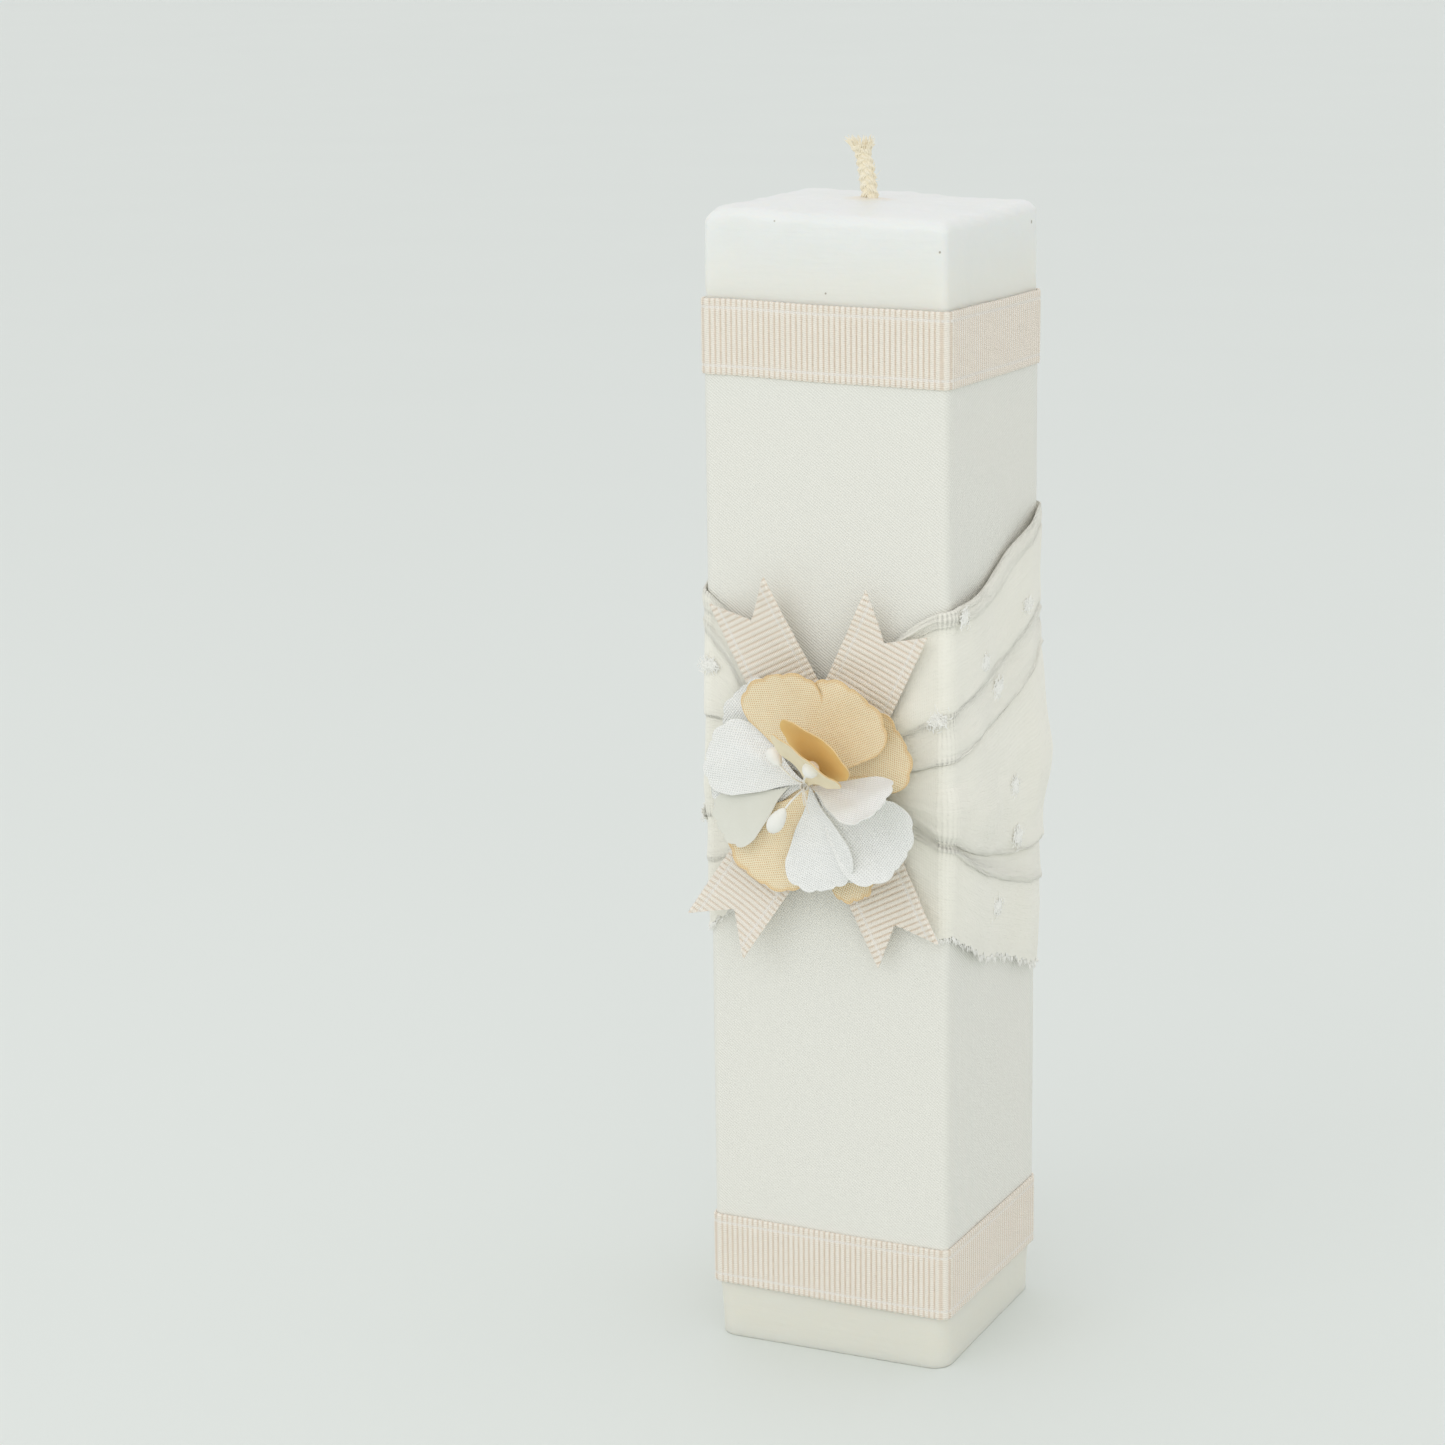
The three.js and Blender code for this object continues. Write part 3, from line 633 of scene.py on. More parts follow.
def wick():
    """A flat three-strand plait. Each strand is a bundle of yarns, and the cut tip frays."""
    rng = np.random.default_rng(11)
    steps, crossings, outer_yarns, inner_yarns, frayed_ends, hairs = 110, 3.0, 9, 6, 150, 90
    facing = (0, 1, 0)
    parts = []
    t = np.linspace(0, 1, steps)
    centre = wick_line(t)
    soaked = 1 + 0.2 * (1 - ease(t, 0.12, 0.36)) + 0.28 * ease(t, 0.84, 1)
    for strand in range(3):
        phase = t * crossings * math.tau + strand * math.tau / 3
        side = 0.95 * np.sin(phase) * soaked
        depth = 0.3 * np.sin(2 * phase) * soaked
        for yarn in range(outer_yarns + inner_yarns):
            layer, ring_of = (0.66, outer_yarns) if yarn < outer_yarns else (0.3, inner_yarns)
            own = yarn * math.tau / ring_of + t * 6
            x = side + layer * np.cos(own) * soaked
            y = depth + layer * 0.8 * np.sin(own)
            path = centre + stack(x, y, 0 * t) + rng.normal(0, 0.03, (steps, 3))
            parts.append(tube_parts(path, 0.19 + 0.02 * np.sin(own * 2), 6, 0, facing))
    for offset in (-0.75, 0.0, 0.75):
        filler = centre + stack(offset * soaked, 0 * t, 0 * t)
        parts.append(tube_parts(filler, 0.62, 8, 0, facing))
    for _ in range(frayed_ends):
        start = wick_line(rng.uniform(0.86, 0.97))
        spread = rng.uniform(-1, 1)
        start = start + np.array([1.75 * spread, rng.uniform(-0.9, 0.9), 0])
        lean = np.array([1.0 * spread + rng.normal(0, 0.3) - 0.2, rng.normal(0, 0.4), rng.uniform(1.2, 2.4)])
        k = shares(6)
        curl = rng.normal(0, 0.25, 3)
        path = start + lean * k + curl * k**2
        path[:, 2] = np.minimum(path[:, 2], WICK_HIGH[2] + 0.3)
        parts.append(tube_parts(path, np.linspace(0.13, 0.06, 6), 4, 0, facing))
    for _ in range(hairs):
        start = wick_line(rng.uniform(0.25, 0.95))
        aside = rng.choice([-1, 1]) * rng.uniform(1.3, 1.7)
        start = start + np.array([aside, rng.uniform(-0.6, 0.6), 0])
        k = shares(5)
        path = start + rng.normal(0, 0.32, 3) * k + np.array([0, 0, rng.uniform(0.2, 0.8)]) * k**2
        parts.append(tube_parts(path, np.linspace(0.05, 0.03, 5), 4, 0, facing))
    low = np.array([0.0, 0.0, WICK_LOW[2]])
    core = np.array([low, [0, 0, 120.0], [-0.4, 0, TOP_MIDDLE - 6], [-0.6, 0, TOP_MIDDLE - 2.6]])
    parts.append(tube_parts(core, 1.4, 10, 0, facing))
    points, faces, slots, _ = join_parts(parts)
    obj = build("wick_braid", points, faces, slots, angle=60)
    return dress(obj, "wick", "wick_cotton", COTTON)


# ---- satin sleeve ----


def wrap_stations(start, length, step):
    """Distances from start to start + length, closer together round the corners."""
    base = np.arange(start, start + length, step)
    corners = []
    for k in range(-1, 10):
        bend = FLAT / 2 + k * SIDE
        corners.extend(np.linspace(bend - 0.4, bend + SIDE - FLAT + 0.4, 9))
    corners = [s for s in corners if start < s < start + length]
    both = np.unique(np.round(join([base, corners, [start + length]]), 4))
    return both[join([[True], np.diff(both) > 0.02])]


def satin_sleeve():
    length, low, high, edge = GIRTH + SATIN_OVERLAP, SATIN_LOW[2], SATIN_HIGH[2], 6
    s = wrap_stations(SEAM - SATIN_OVERLAP / 2, length, 1.5)
    z = join([
        np.linspace(low, low + edge, 8)[:-1],
        np.linspace(low + edge, high - edge, 90)[:-1],
        np.linspace(high - edge, high, 8),
    ])
    S, Z = np.meshgrid(s, z, indexing="ij")
    over = s[-1] - SATIN_OVERLAP
    climb = SEAM_RIDGE * ease(S, over - 3, over - 0.6)
    slack = 0.035 * ripple(S / 34, Z / 60, 21) + 0.02 * ripple(S / 9, Z / 30, 22)
    offset = SATIN_GAP + SATIN_THICKNESS / 2 + climb + np.clip(slack + 0.02, 0, 0.06)
    xy, _ = around(S, offset)
    grid = join([xy, Z[..., None]], -1)
    obj = build("satin_sleeve", *sheet_parts(grid, SATIN_THICKNESS, stack(S, Z)))
    dress(obj, "satin_wrap", "satin", SATIN, SATIN, SATIN)


# ---- grosgrain ribbon ----


def rib_relief(length, across):
    """Relief of the ribbon's outer face: rounded ribs across it, pinched by a stitch line near each edge."""
    cord = np.abs(np.cos(math.pi * length / RIB_PITCH)) ** 0.7
    edge = RIBBON_WIDTH / 2 - np.abs(across)
    pinch = np.exp(-(((edge - SELVAGE) / 0.28) ** 2))
    beat = 0.5 + 0.5 * np.cos(math.tau * length / RIB_PITCH * 2)
    stitch = 0.13 * np.exp(-(((edge - SELVAGE) / 0.2) ** 2)) * beat
    tooth = ease(edge, 0.0, 0.35)
    return RIB_HEIGHT * cord * (1 - 0.75 * pinch) * tooth + stitch


# Distances from the ribbon's edge, closer together at the selvage.
EDGE_ROWS = np.array([0, 0.12, 0.3, 0.6, 1.0, 1.3, 1.5, 1.7, 1.9, 2.15, 2.6])


def ribbon_rows():
    """Places across the ribbon, from edge to edge."""
    half = RIBBON_WIDTH / 2
    middle = half - 3.2
    return join([EDGE_ROWS - half, np.linspace(-middle, middle, 13), half - EDGE_ROWS[::-1]])


def nubs(length, across):
    """The woven edge's small loops, as a change of place across the ribbon."""
    edge = RIBBON_WIDTH / 2 - np.abs(across)
    wave = 0.5 + 0.5 * np.cos(math.tau * length / RIB_PITCH)
    return np.sign(across) * (0.11 * wave - 0.05) * (1 - ease(edge, 0, 0.7))


def ribbon_parts(place, length, across):
    """A ribbon whose middle surface place(length, across) gives, with its ribs in the outer face."""
    L, A = np.meshgrid(length, across, indexing="ij") if np.ndim(length) == 1 else (length, across)
    grid = place(L, A + nubs(L, A))
    relief = rib_relief(L, A)
    raised = grid + surface_normals(grid) * relief[..., None] / 2
    return sheet_parts(raised, RIBBON_BASE + relief, stack(L, A))


def ribbon_band(name, node, seed):
    low, high = node_box(node)
    tilt = BAND_TILT[node]
    middle = (low[2] + high[2]) / 2
    length = GIRTH + BAND_OVERLAP
    start = SEAM + 10
    over = start + GIRTH
    s = np.linspace(start, start + length, int(length / RIB_PITCH * 8))

    def place(L, A):
        climb = 0.64 * ease(L, over - 3, over - 0.6)
        slack = 0.05 * np.clip(ripple(L / 30, A / 30, seed), 0, 1)
        xy, _ = around(L, over_satin(L) + SATIN_GAP + RIBBON_BASE / 2 + climb + slack)
        drift = 0.12 * ripple(L / 40, 0 * L, seed + 1)
        z = middle + A + tilt[0] * xy[..., 0] + tilt[1] * xy[..., 1] + drift
        return join([xy, z[..., None]], -1)

    obj = build(name, *ribbon_parts(place, s, ribbon_rows()), angle=75)
    dress(obj, node, "blush_grosgrain", GROSGRAIN, GROSGRAIN, GROSGRAIN)


# ---- crossed ribbons with swallow tails ----


def half_rows(edge, inner):
    """Places across one half of a ribbon, from its selvage at edge to inner, for each column."""
    rest = np.linspace(EDGE_ROWS[-1], RIBBON_WIDTH / 2, 7)[1:]
    share = join([EDGE_ROWS, rest]) / (RIBBON_WIDTH / 2)
    return edge + (inner - edge)[:, None] * share[None, :]


def cross_ribbon(name, node, high, low, through_point, depth, lifts, twists, skews, seed):
    """A ribbon laid over the sash with a swallow tail at each end.

    high, low      (x, z) middles of its two cut ends; it passes (x, z) through_point
    lifts, twists  how far each end stands off the sash, and turns about the ribbon's own line, degrees
    skews          how much shorter each cut is at its +across side than at its other side
    """
    high, low = np.array(high), np.array(low)
    control = 2 * np.array(through_point) - (high + low) / 2
    t = np.linspace(-0.05, 1.05, 240)[:, None]
    line = bezier(high, control, low, t)
    run = run_along(line)
    run = run - np.interp(0, t[:, 0], run)
    length = float(np.interp(1, t[:, 0], run))
    slope = np.gradient(line, run, axis=0)

    def place(L, A):
        x, z, dx, dz = (np.interp(L, run, v) for v in (*line.T, *slope.T))
        size = np.hypot(dx, dz)
        first = 1 - ease(L, 0, length * 0.42)
        last = ease(L, length * 0.58, length)
        turn = np.radians(twists[0] * first + twists[1] * last)
        lift = lifts[0] * first**1.5 + lifts[1] * last**1.5 + np.abs(np.sin(turn)) * 3.0
        curl = 0.012 * A**2 * (first + last)
        flat = A * np.cos(turn)
        sway = 0.12 * ripple(L / 9, A / 12, seed)
        y = depth - lift - curl - A * np.sin(turn) + sway
        return stack(x - dz / size * flat, y, z + dx / size * flat)

    def half(side):
        start = skews[0] * side / 2
        end = length - skews[1] * side / 2
        count = int((end - start) / RIB_PITCH * 9)
        L = np.linspace(start + 0.15, end - 0.15, count)
        shortfall = np.minimum((L - start) / (TAIL_NOTCH - start), (end - L) / (TAIL_NOTCH + end - length))
        inner = side * RIBBON_WIDTH / 2 * np.clip(1 - shortfall, 0, 1)
        rows = half_rows(side * RIBBON_WIDTH / 2, inner)
        rows = rows if side < 0 else rows[:, ::-1]
        return ribbon_parts(place, np.broadcast_to(L[:, None], rows.shape), rows)

    obj = build(name, *join_parts([half(-1), half(1)]), angle=75)
    dress(obj, node, "blush_grosgrain", GROSGRAIN, GROSGRAIN, GROSGRAIN)


# ---- sash ----
# Each line follows one fold of the sash round the candle: distance from the middle of the front face
# against height.

SASH_TOP = (
    (1.5, 8, 14, 19.5, 24.6, 31, 42.5, 54, 66, 72.5, 75, 98, 122, 148, 172.6, 175.5, 178.5, 181, 187, 193.5),
    (126.5, 136, 146.5, 151.7, 154.3, 155.2, 157.3, 161.7, 165.4, 167.6, 168.2, 168.5, 165, 160.5, 155.8,
     153.4, 151, 148.5, 138, 126.5),
)
SASH_CREASE = (
    (1.5, 8, 14, 19.5, 24.6, 31.6, 46, 60, 71.5, 98, 122, 148, 172.6, 175.5, 178.5, 181, 187, 193.5),
    (124, 126.5, 129, 131.5, 134, 136.7, 139.5, 143.9, 147.5, 148, 148.5, 148, 148.2, 145, 141.8, 137.5,
     131, 124),
)
SASH_FOLD = (
    (1.5, 8, 14, 19.4, 22.9, 37.4, 48.8, 58.9, 67, 71.4, 75, 98, 122, 148, 172.6, 177, 181, 187, 193.5),
    (121.5, 121.9, 122.6, 123.6, 124.8, 128.1, 129.9, 132.8, 136.2, 139, 140, 141, 137, 133, 130.5, 130,
     128.5, 125, 121.5),
)
SASH_FLAP = (
    (1.5, 8, 14, 19.5, 24.6, 33.2, 46.6, 61, 69, 75, 98, 122, 148, 172.6, 178, 183, 188, 193.5),
    (118, 117, 115.5, 112.8, 109.3, 105.3, 101.7, 99.3, 98.8, 98.5, 100, 103, 107, 110, 110.5, 112, 115,
     118),
)
SASH_LOWER = (
    (1.5, 8, 14, 19.5, 24.6, 32, 47, 61.6, 69, 75, 98, 122, 148, 172.6, 178, 183, 188, 193.5),
    (116, 114.5, 112.3, 110.3, 107.6, 103, 97.2, 92.8, 91.3, 90.5, 90, 93, 98, 101, 103, 106, 110, 115.5),
)
SASH_BOTTOM = (
    (1.5, 8, 14, 19.5, 24.6, 31, 40.5, 52, 69, 75, 98, 122, 148, 172.6, 178, 181, 187, 193.5),
    (113, 106, 98, 93, 90.2, 87, 82.2, 79.4, 73.3, 72.5, 73, 79, 84, 87.5, 91.5, 93, 101, 113),
)


def sash_profile(s):
    """Control points (height, distance off the satin) of the sash's section at stations s, top to
    bottom: a rolled top, a crease, a knife pleat, a second pleat over a raw edge, and the frayed hem."""
    top, crease, fold, flap, lower, bottom = (
        through(s, *line) for line in (SASH_TOP, SASH_CREASE, SASH_FOLD, SASH_FLAP, SASH_LOWER, SASH_BOTTOM)
    )
    q = np.clip((top - bottom) / 80, 0.12, 1.05)
    roll = q * (1 + 0.25 * ripple(s / 30, 0 * s, 31))
    puff = 1 + 0.8 * np.exp(-(((s - 73) / 7) ** 2)) + 0.3 * np.exp(-(((s - 40) / 14) ** 2))
    hold = (0.5 + 0.32 * ease(s, 2, 22)) * (1 - 0.5 * ease(s, 150, 172))
    rear = 1 - 0.5 * np.exp(-(((s - 74) / 12) ** 2))
    rows = [
        (top - 4.5 * q, 0.25), (top - 1.5 * q, 0.3), (top - 0.1, 0.7), (top - 0.5 * q, 1.5 * rear),
        (top - 2.2 * roll, 1.9 * rear), (top - 3.8 * roll, 1.5 * rear), (top - 4.9 * q, 1.0),
        (lerp(top - 4.9 * q, crease, 0.5), 1.3 * rear), (crease + 1.4 * q, 1.7 * rear),
        (crease - 0.2, 1.3 * rear), (crease - 0.9 * q, 1.05), (crease - 2.6 * q, 1.1 * rear),
        (lerp(crease, fold, 0.55), 1.6 * rear), (fold + 1.1 * q, 1.95 * rear), (fold, 1.8 * rear),
        (fold - 0.2 * q, 1.5), (fold + 0.8 * q, 1.1), (fold + 3.2 * q, 0.95), (fold + 4.2 * q, 0.6),
        (fold + 3.4 * q, 0.3), (fold + 0.5 * q, 0.45), (fold - 1.4 * q, 1.15),
        (lerp(fold, flap, 0.36), 1.7 * puff), (lerp(fold, flap, 0.6), 2.3 * puff),
        (lerp(fold, flap, 0.82), 2.3), (flap + 1.2 * q, 1.9), (flap, 1.6), (flap - 0.1, 1.3),
        (flap + 1.2 * q, 0.95), (flap + 3.4 * q, 0.8), (flap + 4.2 * q, 0.5), (flap + 3.0 * q, 0.4),
        (flap - 0.8 * q, 0.85), (lerp(flap, lower, 0.6), 1.1), (lower + 0.6 * q, 1.6),
        (lower - 0.5 * q, 1.4), (lower - 1.3 * q, 1.0), (lerp(lower, bottom, 0.4), 1.1),
        (lerp(lower, bottom, 0.75), 0.8), (bottom, 0.5),
    ]
    height = np.stack([np.broadcast_to(z, s.shape) for z, _ in rows])
    off = np.stack([np.broadcast_to(d, s.shape) * hold for _, d in rows])
    return height, off


def sash_grid():
    s = wrap_stations(2.2, GIRTH - 4.4, 0.8)
    height, off = sash_profile(s)
    both = spline(stack(height, off), 6)
    height, off = both[..., 0].T, np.maximum(both[..., 1].T, 0.2)
    S = np.broadcast_to(s[:, None], height.shape)
    row = np.broadcast_to(np.linspace(0, 1, height.shape[1]), height.shape)
    neck = np.exp(-np.minimum(S, GIRTH - S) / 16)
    free = ease(off, 0.6, 1.6)
    gather = ripple(S / 24, row * 23, 41) * (0.26 + 0.5 * neck)
    gather = gather + ripple(S / 15, row * 46, 46) * (0.08 + 0.22 * neck)
    off = off + free * (gather + 0.2 * ripple(S / 11, row * 10, 42))
    height = height + 0.4 * free * ripple(S / 10, row * 12, 43)
    from_corner = np.abs(np.mod(S, SIDE) - SIDE / 2)
    loose = 1.0 * ease(from_corner, 0, 9) * (1 - 0.75 * ease(from_corner, 9, 22))
    off = off + loose * ease(S, 8, 20) * ease(GIRTH - S, 8, 20)
    hem = ease(row, 0.975, 1.0)
    height = height + hem * (0.5 * ripple(S / 3.5, 0 * S, 44) + 0.3 * ripple(S / 1.2, 0 * S, 45))
    xy, _ = around(S, over_satin(S) + 0.25 + np.maximum(off, 0.18))
    grid = join([xy, height[..., None]], -1)
    return grid, S, row


def outer_point(grid, S, s, z):
    """The outermost point of the sash near distance s and height z, and the direction out of the candle."""
    column = int(np.argmin(np.abs(S[:, 0] - s)))
    _, out = around(S[column, 0], 0.0)
    points = grid[column]
    reach = points[:, :2] @ out
    close = np.abs(points[:, 2] - z) < 0.8
    reach = np.where(close, reach, -1e9)
    best = points[int(np.argmax(reach))] if close.any() else points[int(np.argmin(np.abs(points[:, 2] - z)))]
    return best, np.array([out[0], out[1], 0.0])


# The clipped dots that are given one by one, as distance round the candle and height.
TUFTS = (
    (28.0, 152.3), (38.3, 142.4), (47.3, 135.8), (23.5, 133.6), (63.1, 149.7), (54.4, 113.8), (56.9, 103.9),
    (47.9, 91.0), (172.0, 109.6), (174.0, 141.0),
)


def tuft_parts(rng, centre, out, size):
    """One clipped dot: a lens of short, crimped, clipped yarn ends lying on the cloth."""
    threads = 230
    parts = []
    up = np.array([0, 0, 1.0])
    side = unit(np.cross(out, up))
    k = shares(6)
    for _ in range(threads):
        turn = rng.normal(math.pi / 2, 1.0)
        direction = side * math.cos(turn) + up * math.sin(turn)
        start = centre + out * rng.uniform(0.0, 0.22)
        start = start + size * (side * rng.normal(0, 0.85) + up * rng.normal(0, 0.6))
        length = rng.uniform(0.4, 1.0) * size
        crimp = np.sin(k * rng.uniform(4, 8) + rng.uniform(0, 6)) * 0.06
        rise = 0.14 * np.sin(k * math.pi) * rng.uniform(0.4, 1.2)
        rise = rise + 0.08 * k**2 * rng.uniform(-0.5, 1.2)
        path = start + direction * (k - 0.5) * length + out * rise + np.cross(direction, out) * crimp
        parts.append(tube_parts(path, np.linspace(0.12, 0.07, 6) * rng.uniform(0.7, 1.2), 4, 1, out))
    return parts


def fray_parts(rng, edge, out):
    """Loose yarn ends that hang from an edge, given as points, with the directions out of the candle."""
    ends, longest = 1500, 1.3
    down = np.array([0, 0, -1.0])
    parts = []
    for _ in range(ends):
        k0 = rng.integers(0, len(edge))
        start = edge[k0]
        along = edge[min(k0 + 1, len(edge) - 1)] - edge[max(k0 - 1, 0)]
        along = unit(along)
        own = rng.uniform(0.4, 1.0) * longest
        lean = rng.normal(0, 0.7)
        k = shares(7)
        curl = along * np.sin(k * rng.uniform(2, 6)) * 0.25 * own
        lift = out[k0] * (0.15 + 0.25 * k * rng.uniform(-0.4, 1))
        path = start + down * k * own + along * lean * k * own * 0.6 + curl + lift
        parts.append(tube_parts(path, np.linspace(0.075, 0.045, 7), 4, 1, out[k0]))
    return parts


def sash():
    rng = np.random.default_rng(51)
    grid, S, row = sash_grid()
    points, faces, _, flat = sheet_parts(grid, VOILE_THICKNESS, stack(S, row * SASH_RUN))
    parts = [(points, faces, np.zeros(len(faces), int), flat)]
    placed = list(TUFTS)
    for s in np.arange(84, 168, 11.0):
        low, high = through(s, *SASH_BOTTOM), through(s, *SASH_TOP)
        for k in range(6):
            z = float(lerp(low, high, (k + 0.5) / 6))
            placed.append((s + rng.uniform(-3, 3), z + rng.uniform(-3, 3)))
    for s, z in placed:
        point, out = outer_point(grid, S, s, z)
        parts.extend(tuft_parts(rng, point, out, rng.uniform(1.15, 1.5)))
    _, out = around(S[:, 0], 0.0)
    out = np.column_stack([out, np.zeros(len(out))])
    wide = (S[:, 0] > 20) & (S[:, 0] < GIRTH - 14)
    parts.extend(fray_parts(rng, grid[wide, -1], out[wide]))
    obj = build("sash_voile", *join_parts(parts), angle=80)
    dress(obj, "sash", "voile", VOILE, TUFT)


# ---- flower ----


def petal_parts(angle, length, spread, tilt, depth, seed, bow=0.0, roll=0.0, cup=0.003, shift=(0, 0),
                edges=(0, 0), face=0, waves=0.3):
    """One die-cut petal. Angles are in degrees.

    angle   direction in the plane of the candle's face, from +X towards +Z
    length  from the flower's middle to the rim; spread is half its opening angle
    tilt    how steeply it leaves that plane; it's bow steeper at its rim
    depth   how far its root is off the flower's back; shift moves the root in the face's plane
    roll    turn about its own line
    cup     rise of its side edges, per millimetre squared
    edges   how far its two side edges are bent towards the viewer: clockwise edge, other edge
    face    material of the side towards the viewer: 0 the cloth's face, 1 its reverse, 3 the painted orange of light bounced inside a fold
    waves   height of the random waves in the cloth
    """
    rows, columns, lobes = 44, 48, 5
    share, a = np.meshgrid(np.linspace(0, 1, rows) ** 0.85, np.linspace(-1, 1, columns), indexing="ij")
    rim = length * (1 - 0.07 * a**2 - 0.17 * np.abs(a) ** 5)
    scallop = 0.75 * np.abs(np.cos(a * lobes * math.pi / 2)) ** 0.7 - 0.4
    r = share * (rim + scallop * ease(share, 0.55, 1.0))
    opening = math.radians(spread) * (0.58 + 0.42 * ease(share, 0.0, 0.62))
    along, across = r * np.cos(a * opening), r * np.sin(a * opening)
    steps = np.radians(tilt + bow * np.linspace(0, 1, 5))
    line = spline(join([[[0, 0]], np.cumsum(stack(np.cos(steps), np.sin(steps)), 0)]), 12)
    run = run_along(line)
    line, run = line * length / run[-1], run * length / run[-1]
    slope = np.gradient(line, run, axis=0)
    forward, rise, df, dr = (np.interp(along, run, v) for v in (*line.T, *slope.T))
    turn = np.radians(roll)
    out = ease(share, 0.1, 0.7)
    lift = cup * across**2 * out + waves * ripple(along / 12, across / 8, seed) * share
    lift = lift + out * (edges[0] * ease(-a, 0.25, 1.0) + edges[1] * ease(a, 0.25, 1.0))
    x = across * np.cos(turn) - lift * np.sin(turn)
    n = across * np.sin(turn) + lift * np.cos(turn)
    size = np.hypot(df, dr)
    forward = forward - n * dr / size
    rise = rise + n * df / size
    c, q = math.cos(math.radians(angle)), math.sin(math.radians(angle))
    grid = stack(
        FLOWER[0] + shift[0] + forward * c - x * q,
        FLOWER[1] - depth - rise,
        FLOWER[2] + shift[1] + forward * q + x * c,
    )
    grain = 0.35 + 1.1 * seed
    flat = stack(
        along * math.cos(grain) - across * math.sin(grain),
        along * math.sin(grain) + across * math.cos(grain),
    )
    points, faces, slots, flat = sheet_parts(grid, PETAL_THICKNESS, flat)
    rim = np.maximum(ease(share, 0.962, 0.99), ease(np.abs(a), 0.94, 0.985)).reshape(-1)
    return points, faces, np.array([face, 1 - min(face, 1), 2])[slots], flat, join([rim, rim])


def floret(name, node, slot, petals, materials):
    parts = [petal_parts(**p) for p in petals]
    obj = build(name, *join_parts([p[:4] for p in parts]), angle=60)
    tag(obj, "rim", join([p[4] for p in parts]))
    dress(obj, node, slot, *materials)


def petal(angle, length, spread, tilt, depth, seed, **shape):
    """What petal_parts is told about one petal."""
    return dict(angle=angle, length=length, spread=spread, tilt=tilt, depth=depth, seed=seed, **shape)


def flower():
    gold, white = (GOLD, GOLD_BACK, GOLD_EDGE, GOLD_PAINTED_BOUNCE), (WHITE, WHITE_BACK, WHITE_EDGE)
    floret("floret_gold_under", "floret_gold_back", "gold_cloth", [
        petal(29, 22.3, 30, 5, 0.7, 1),
        petal(106, 23.2, 29, 8, 1.4, 2, bow=6, roll=-3),
        # Its visible side takes the painted orange of light bounced inside the fold.
        petal(61, 20.0, 33, 37, 2.4, 3, bow=10, roll=-4, waves=0.5, cup=0.006, face=3),
        petal(240, 22.6, 31, 5, 2.0, 4),
        petal(306, 18.0, 24, 9, 1.0, 5),
    ], gold)
    floret("floret_white_under", "floret_white_back", "white_cloth", [
        petal(132, 23.4, 25, 2, 0.2, 6),
        petal(187, 20.6, 27, 7, 1.3, 7),
        petal(286, 20.6, 30, 17, 2.4, 8, bow=-6, roll=4, edges=(0, 2.0)),
        petal(329, 24.6, 27, 12, 2.0, 9, bow=-4, roll=-6, edges=(2.4, 0.2)),
        petal(49, 16.0, 25, 2, 0.2, 10),
    ], white)
    floret("floret_gold_over", "floret_gold_front", "gold_cloth", [
        petal(58, 23.4, 31, 6, 2.8, 11, bow=5, roll=-4),
        petal(59, 19.6, 33, 47, 3.6, 12, bow=13, cup=0.003, waves=0.5, face=1),
        petal(205, 17.0, 26, 3, 1.2, 13),
        petal(296, 24.2, 14, 3, 1.9, 14),
        petal(349, 14.5, 25, 3, 1.2, 15),
    ], gold)
    floret("floret_white_over", "floret_white_front", "white_cloth", [
        petal(163, 21.4, 27, 10, 2.4, 16, bow=-3, roll=3, edges=(-1.8, 0.0)),
        petal(213, 16.8, 26, 13, 2.6, 17, bow=-8, roll=10, shift=(-4.2, -0.6), face=1),
        petal(308, 20.6, 24, 6, 1.8, 18),
        petal(2, 22.8, 21, 31, 3.2, 19, bow=-4, roll=-56),
        petal(89, 15.0, 25, 3, 0.4, 20),
    ], white)


def stamen(name, node, start, bend, head, radius, stretch):
    """A dipped stamen: a stiff thread with a drop-shaped head. head is the head's middle."""
    rows = 26
    head = np.array(head)
    parts = [tube_parts(bezier(start, bend, head, shares(rows)), 0.2, 8)]
    axis = unit(head - bend)
    along = np.linspace(-1, 1, rows)
    centre = head + np.outer(along * radius * stretch, axis)
    swell = np.sqrt(np.clip(1 - along**2, 0, 1)) * (1 - 0.22 * (1 - along) / 2 * (1.2 - along))
    swell = np.clip(swell, 0.02, 1)
    parts.append(tube_parts(centre, radius * swell, 22))
    points, faces, slots, flat = join_parts(parts)
    bumps = 0.04 * ripple(points[:, 0] / 1.1, points[:, 2] / 1.1 + points[:, 1], 61)
    points = points + axis * bumps[:, None]
    obj = build(name, points, faces, slots, flat, angle=80)
    return dress(obj, node, "stamen_cotton", PEARL)


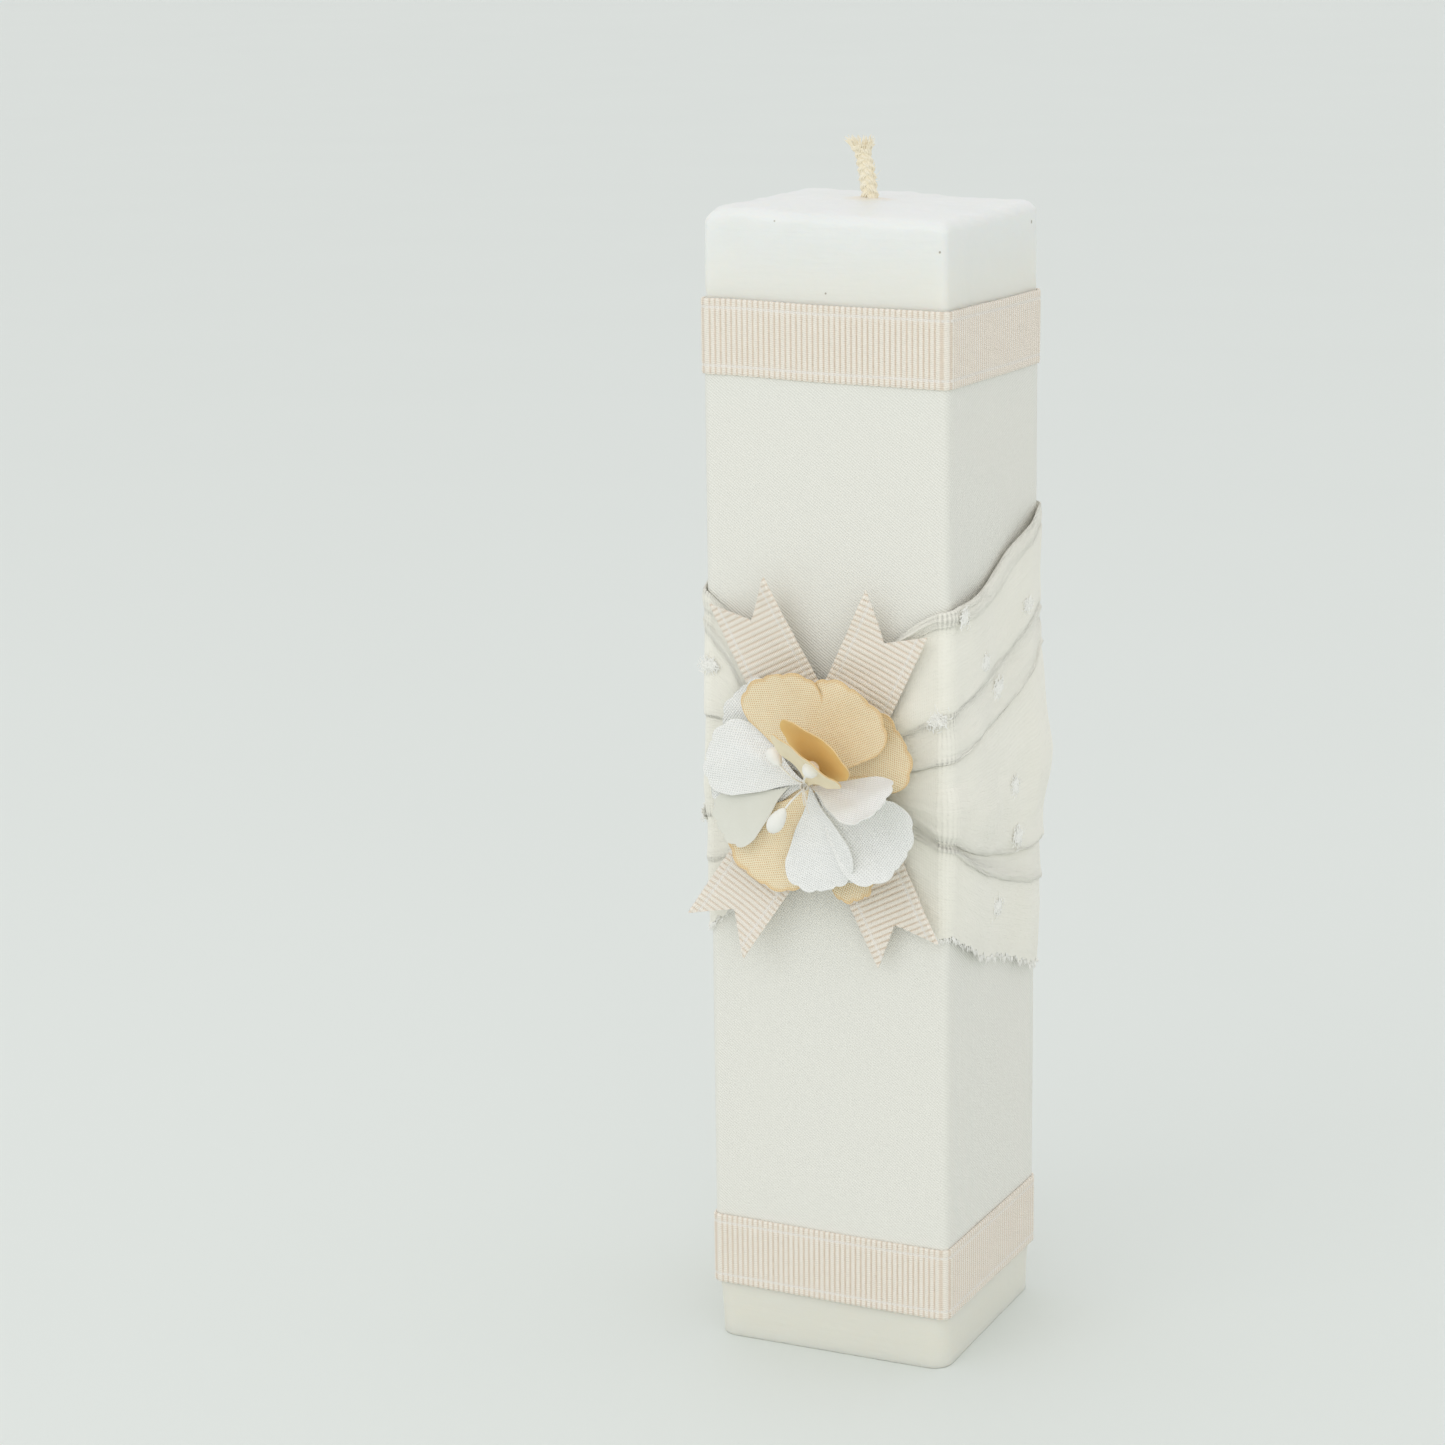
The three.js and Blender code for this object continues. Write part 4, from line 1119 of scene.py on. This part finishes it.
def stamens():
    root = np.array([FLOWER[0] - 0.2, FLOWER[1] - 3.5, FLOWER[2] + 0.2])
    stamen("stamen_upper_left", "stamen_left", root + [-0.3, 0, 0.2], root + [-1.5, -5.2, 2.0],
           (-5.1, -38.1, 126.1), 1.6, 1.35)
    stamen("stamen_centre", "stamen_middle", root + [0.2, 0, 0.3], root + [0.6, -5, 1.5],
           (4.6, -43.4, 125.6), 1.85, 1.1)
    stamen("stamen_low_left", "stamen_lower", root + [0, 0, -0.4], root + [-0.8, -5.4, -1.2],
           (-4.3, -38.9, 114.0), 1.85, 1.7)
    rng = np.random.default_rng(71)
    parts = []
    turn = np.linspace(0, math.tau * 5, 90)
    coil = root + stack(0.75 * np.cos(turn), -0.4 - turn / turn[-1] * 1.1, 0.75 * np.sin(turn))
    parts.append(tube_parts(coil, 0.13, 6, 0, (0, 1, 0)))
    for _ in range(5):
        k = shares(12)
        lean = np.array([rng.uniform(1, 3.4), rng.uniform(-4, -2), rng.uniform(-4.5, -1.0)])
        path = root + [0, -1.2, 0] + lean * k + np.array([0, -0.8, 0.5]) * np.sin(k * math.pi)
        parts.append(tube_parts(path, 0.11, 6))
    obj = build("stamen_whipping", *join_parts(parts), angle=80)
    dress(obj, "stamen_binding", "thread", THREAD)


# ---- what stays from CAD, hidden inside ----


def keep_cad_pieces():
    for node, material in (
        ("wick_sustainer", TIN), ("satin_seam_tape", TAPE), ("sash_tie_thread", THREAD), ("glue_pad", GLUE),
    ):
        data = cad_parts[node].data
        data.materials.clear()
        data.materials.append(material)


# ---- stage: floor, light and camera ----


def floor():
    rings, spokes, flat_radius = 30, 96, 2.0
    turns = np.arange(spokes) * math.tau / spokes
    points = [[0, 0, 0]]
    for r in np.geomspace(0.1, 40, rings):
        rise = 0.004 * max(0.0, r - flat_radius) ** 2
        points.extend([[r * math.cos(a), r * math.sin(a), rise] for a in turns])
    faces = [[0, 1 + i, 1 + (i + 1) % spokes] for i in range(spokes)]
    for k in range(rings - 1):
        near, far = 1 + k * spokes, 1 + (k + 1) * spokes
        for i in range(spokes):
            j = (i + 1) % spokes
            faces.append([near + i, far + i, far + j, near + j])
    obj = build("floor", np.array(points) / MM, faces)
    n = Nodes("floor_paper")
    tone = n.cloud(4, 3)
    n.set(base_color=n.mix(tone, (0.785, 0.825, 0.795), (0.80, 0.84, 0.81)), roughness=0.6,
          specular_ior_level=0.3, normal=n.bump(n.cloud(800, 2), 0.0001, 0.2))
    obj.data.materials.append(n.material)


def area_light(name, place, aim, size, power, colour):
    data = bpy.data.lights.new(name, "AREA")
    data.shape = "RECTANGLE"
    data.size, data.size_y = size
    data.energy = power
    data.color = colour
    light = bpy.data.objects.new(name, data)
    light.location = place
    light.rotation_euler = (Vector(aim) - Vector(place)).to_track_quat("-Z", "Y").to_euler()
    light.visible_camera = False
    bpy.context.scene.collection.objects.link(light)


def lights():
    world = bpy.data.worlds.new("surround")
    world.use_nodes = True
    background = world.node_tree.nodes["Background"]
    background.inputs[0].default_value = (1.0, 1.0, 1.0, 1)
    background.inputs[1].default_value = 0.87
    bpy.context.scene.world = world
    area_light("key", (-0.5, -1.3, 1.05), (0, 0, 0.12), (0.9, 0.9), 2.1, (1.0, 1.0, 1.0))
    area_light("fill", (0.55, -1.4, 0.6), (0, 0, 0.12), (1.3, 1.3), 2.1, (1.0, 0.995, 0.98))


def camera():
    data = bpy.data.cameras.new("camera")
    data.sensor_width = 36
    data.lens = 82.94
    data.clip_start = 0.01
    data.clip_end = 200
    cam = bpy.data.objects.new("camera", data)
    azimuth, elevation, roll = 25.15, 12.51, -0.78
    eye = (0.25009, -0.60497, 0.27104)
    turn = Euler((math.radians(90 - elevation), 0, math.radians(azimuth))).to_matrix()
    cam.matrix_world = Matrix.Translation(eye) @ (
        turn @ Matrix.Rotation(math.radians(roll), 3, "Z")
    ).to_4x4()
    bpy.context.scene.collection.objects.link(cam)
    bpy.context.scene.camera = cam


bpy.context.scene.view_settings.view_transform = "Standard"
camera()
lights()
floor()
wax_pillar()
wick()
satin_sleeve()
ribbon_band("ribbon_upper", "upper_ribbon_band", 81)
ribbon_band("ribbon_lower", "lower_ribbon_band", 91)
sash()
cross_ribbon("ribbon_high_left", "cross_ribbon_a", (-16.5, 156.7), (18.9, 86.7), (1.2, 121.7), -28.3,
             (0.9, 0.3), (10, 4), (0, 0), 1)
cross_ribbon("ribbon_high_right", "cross_ribbon_b", (16.9, 154.3), (-20.8, 87.4), (0.4, 121.9), -29.0,
             (0.2, 2.8), (-6, 1), (3.0, 0), 2)
flower()
stamens()
keep_cad_pieces()
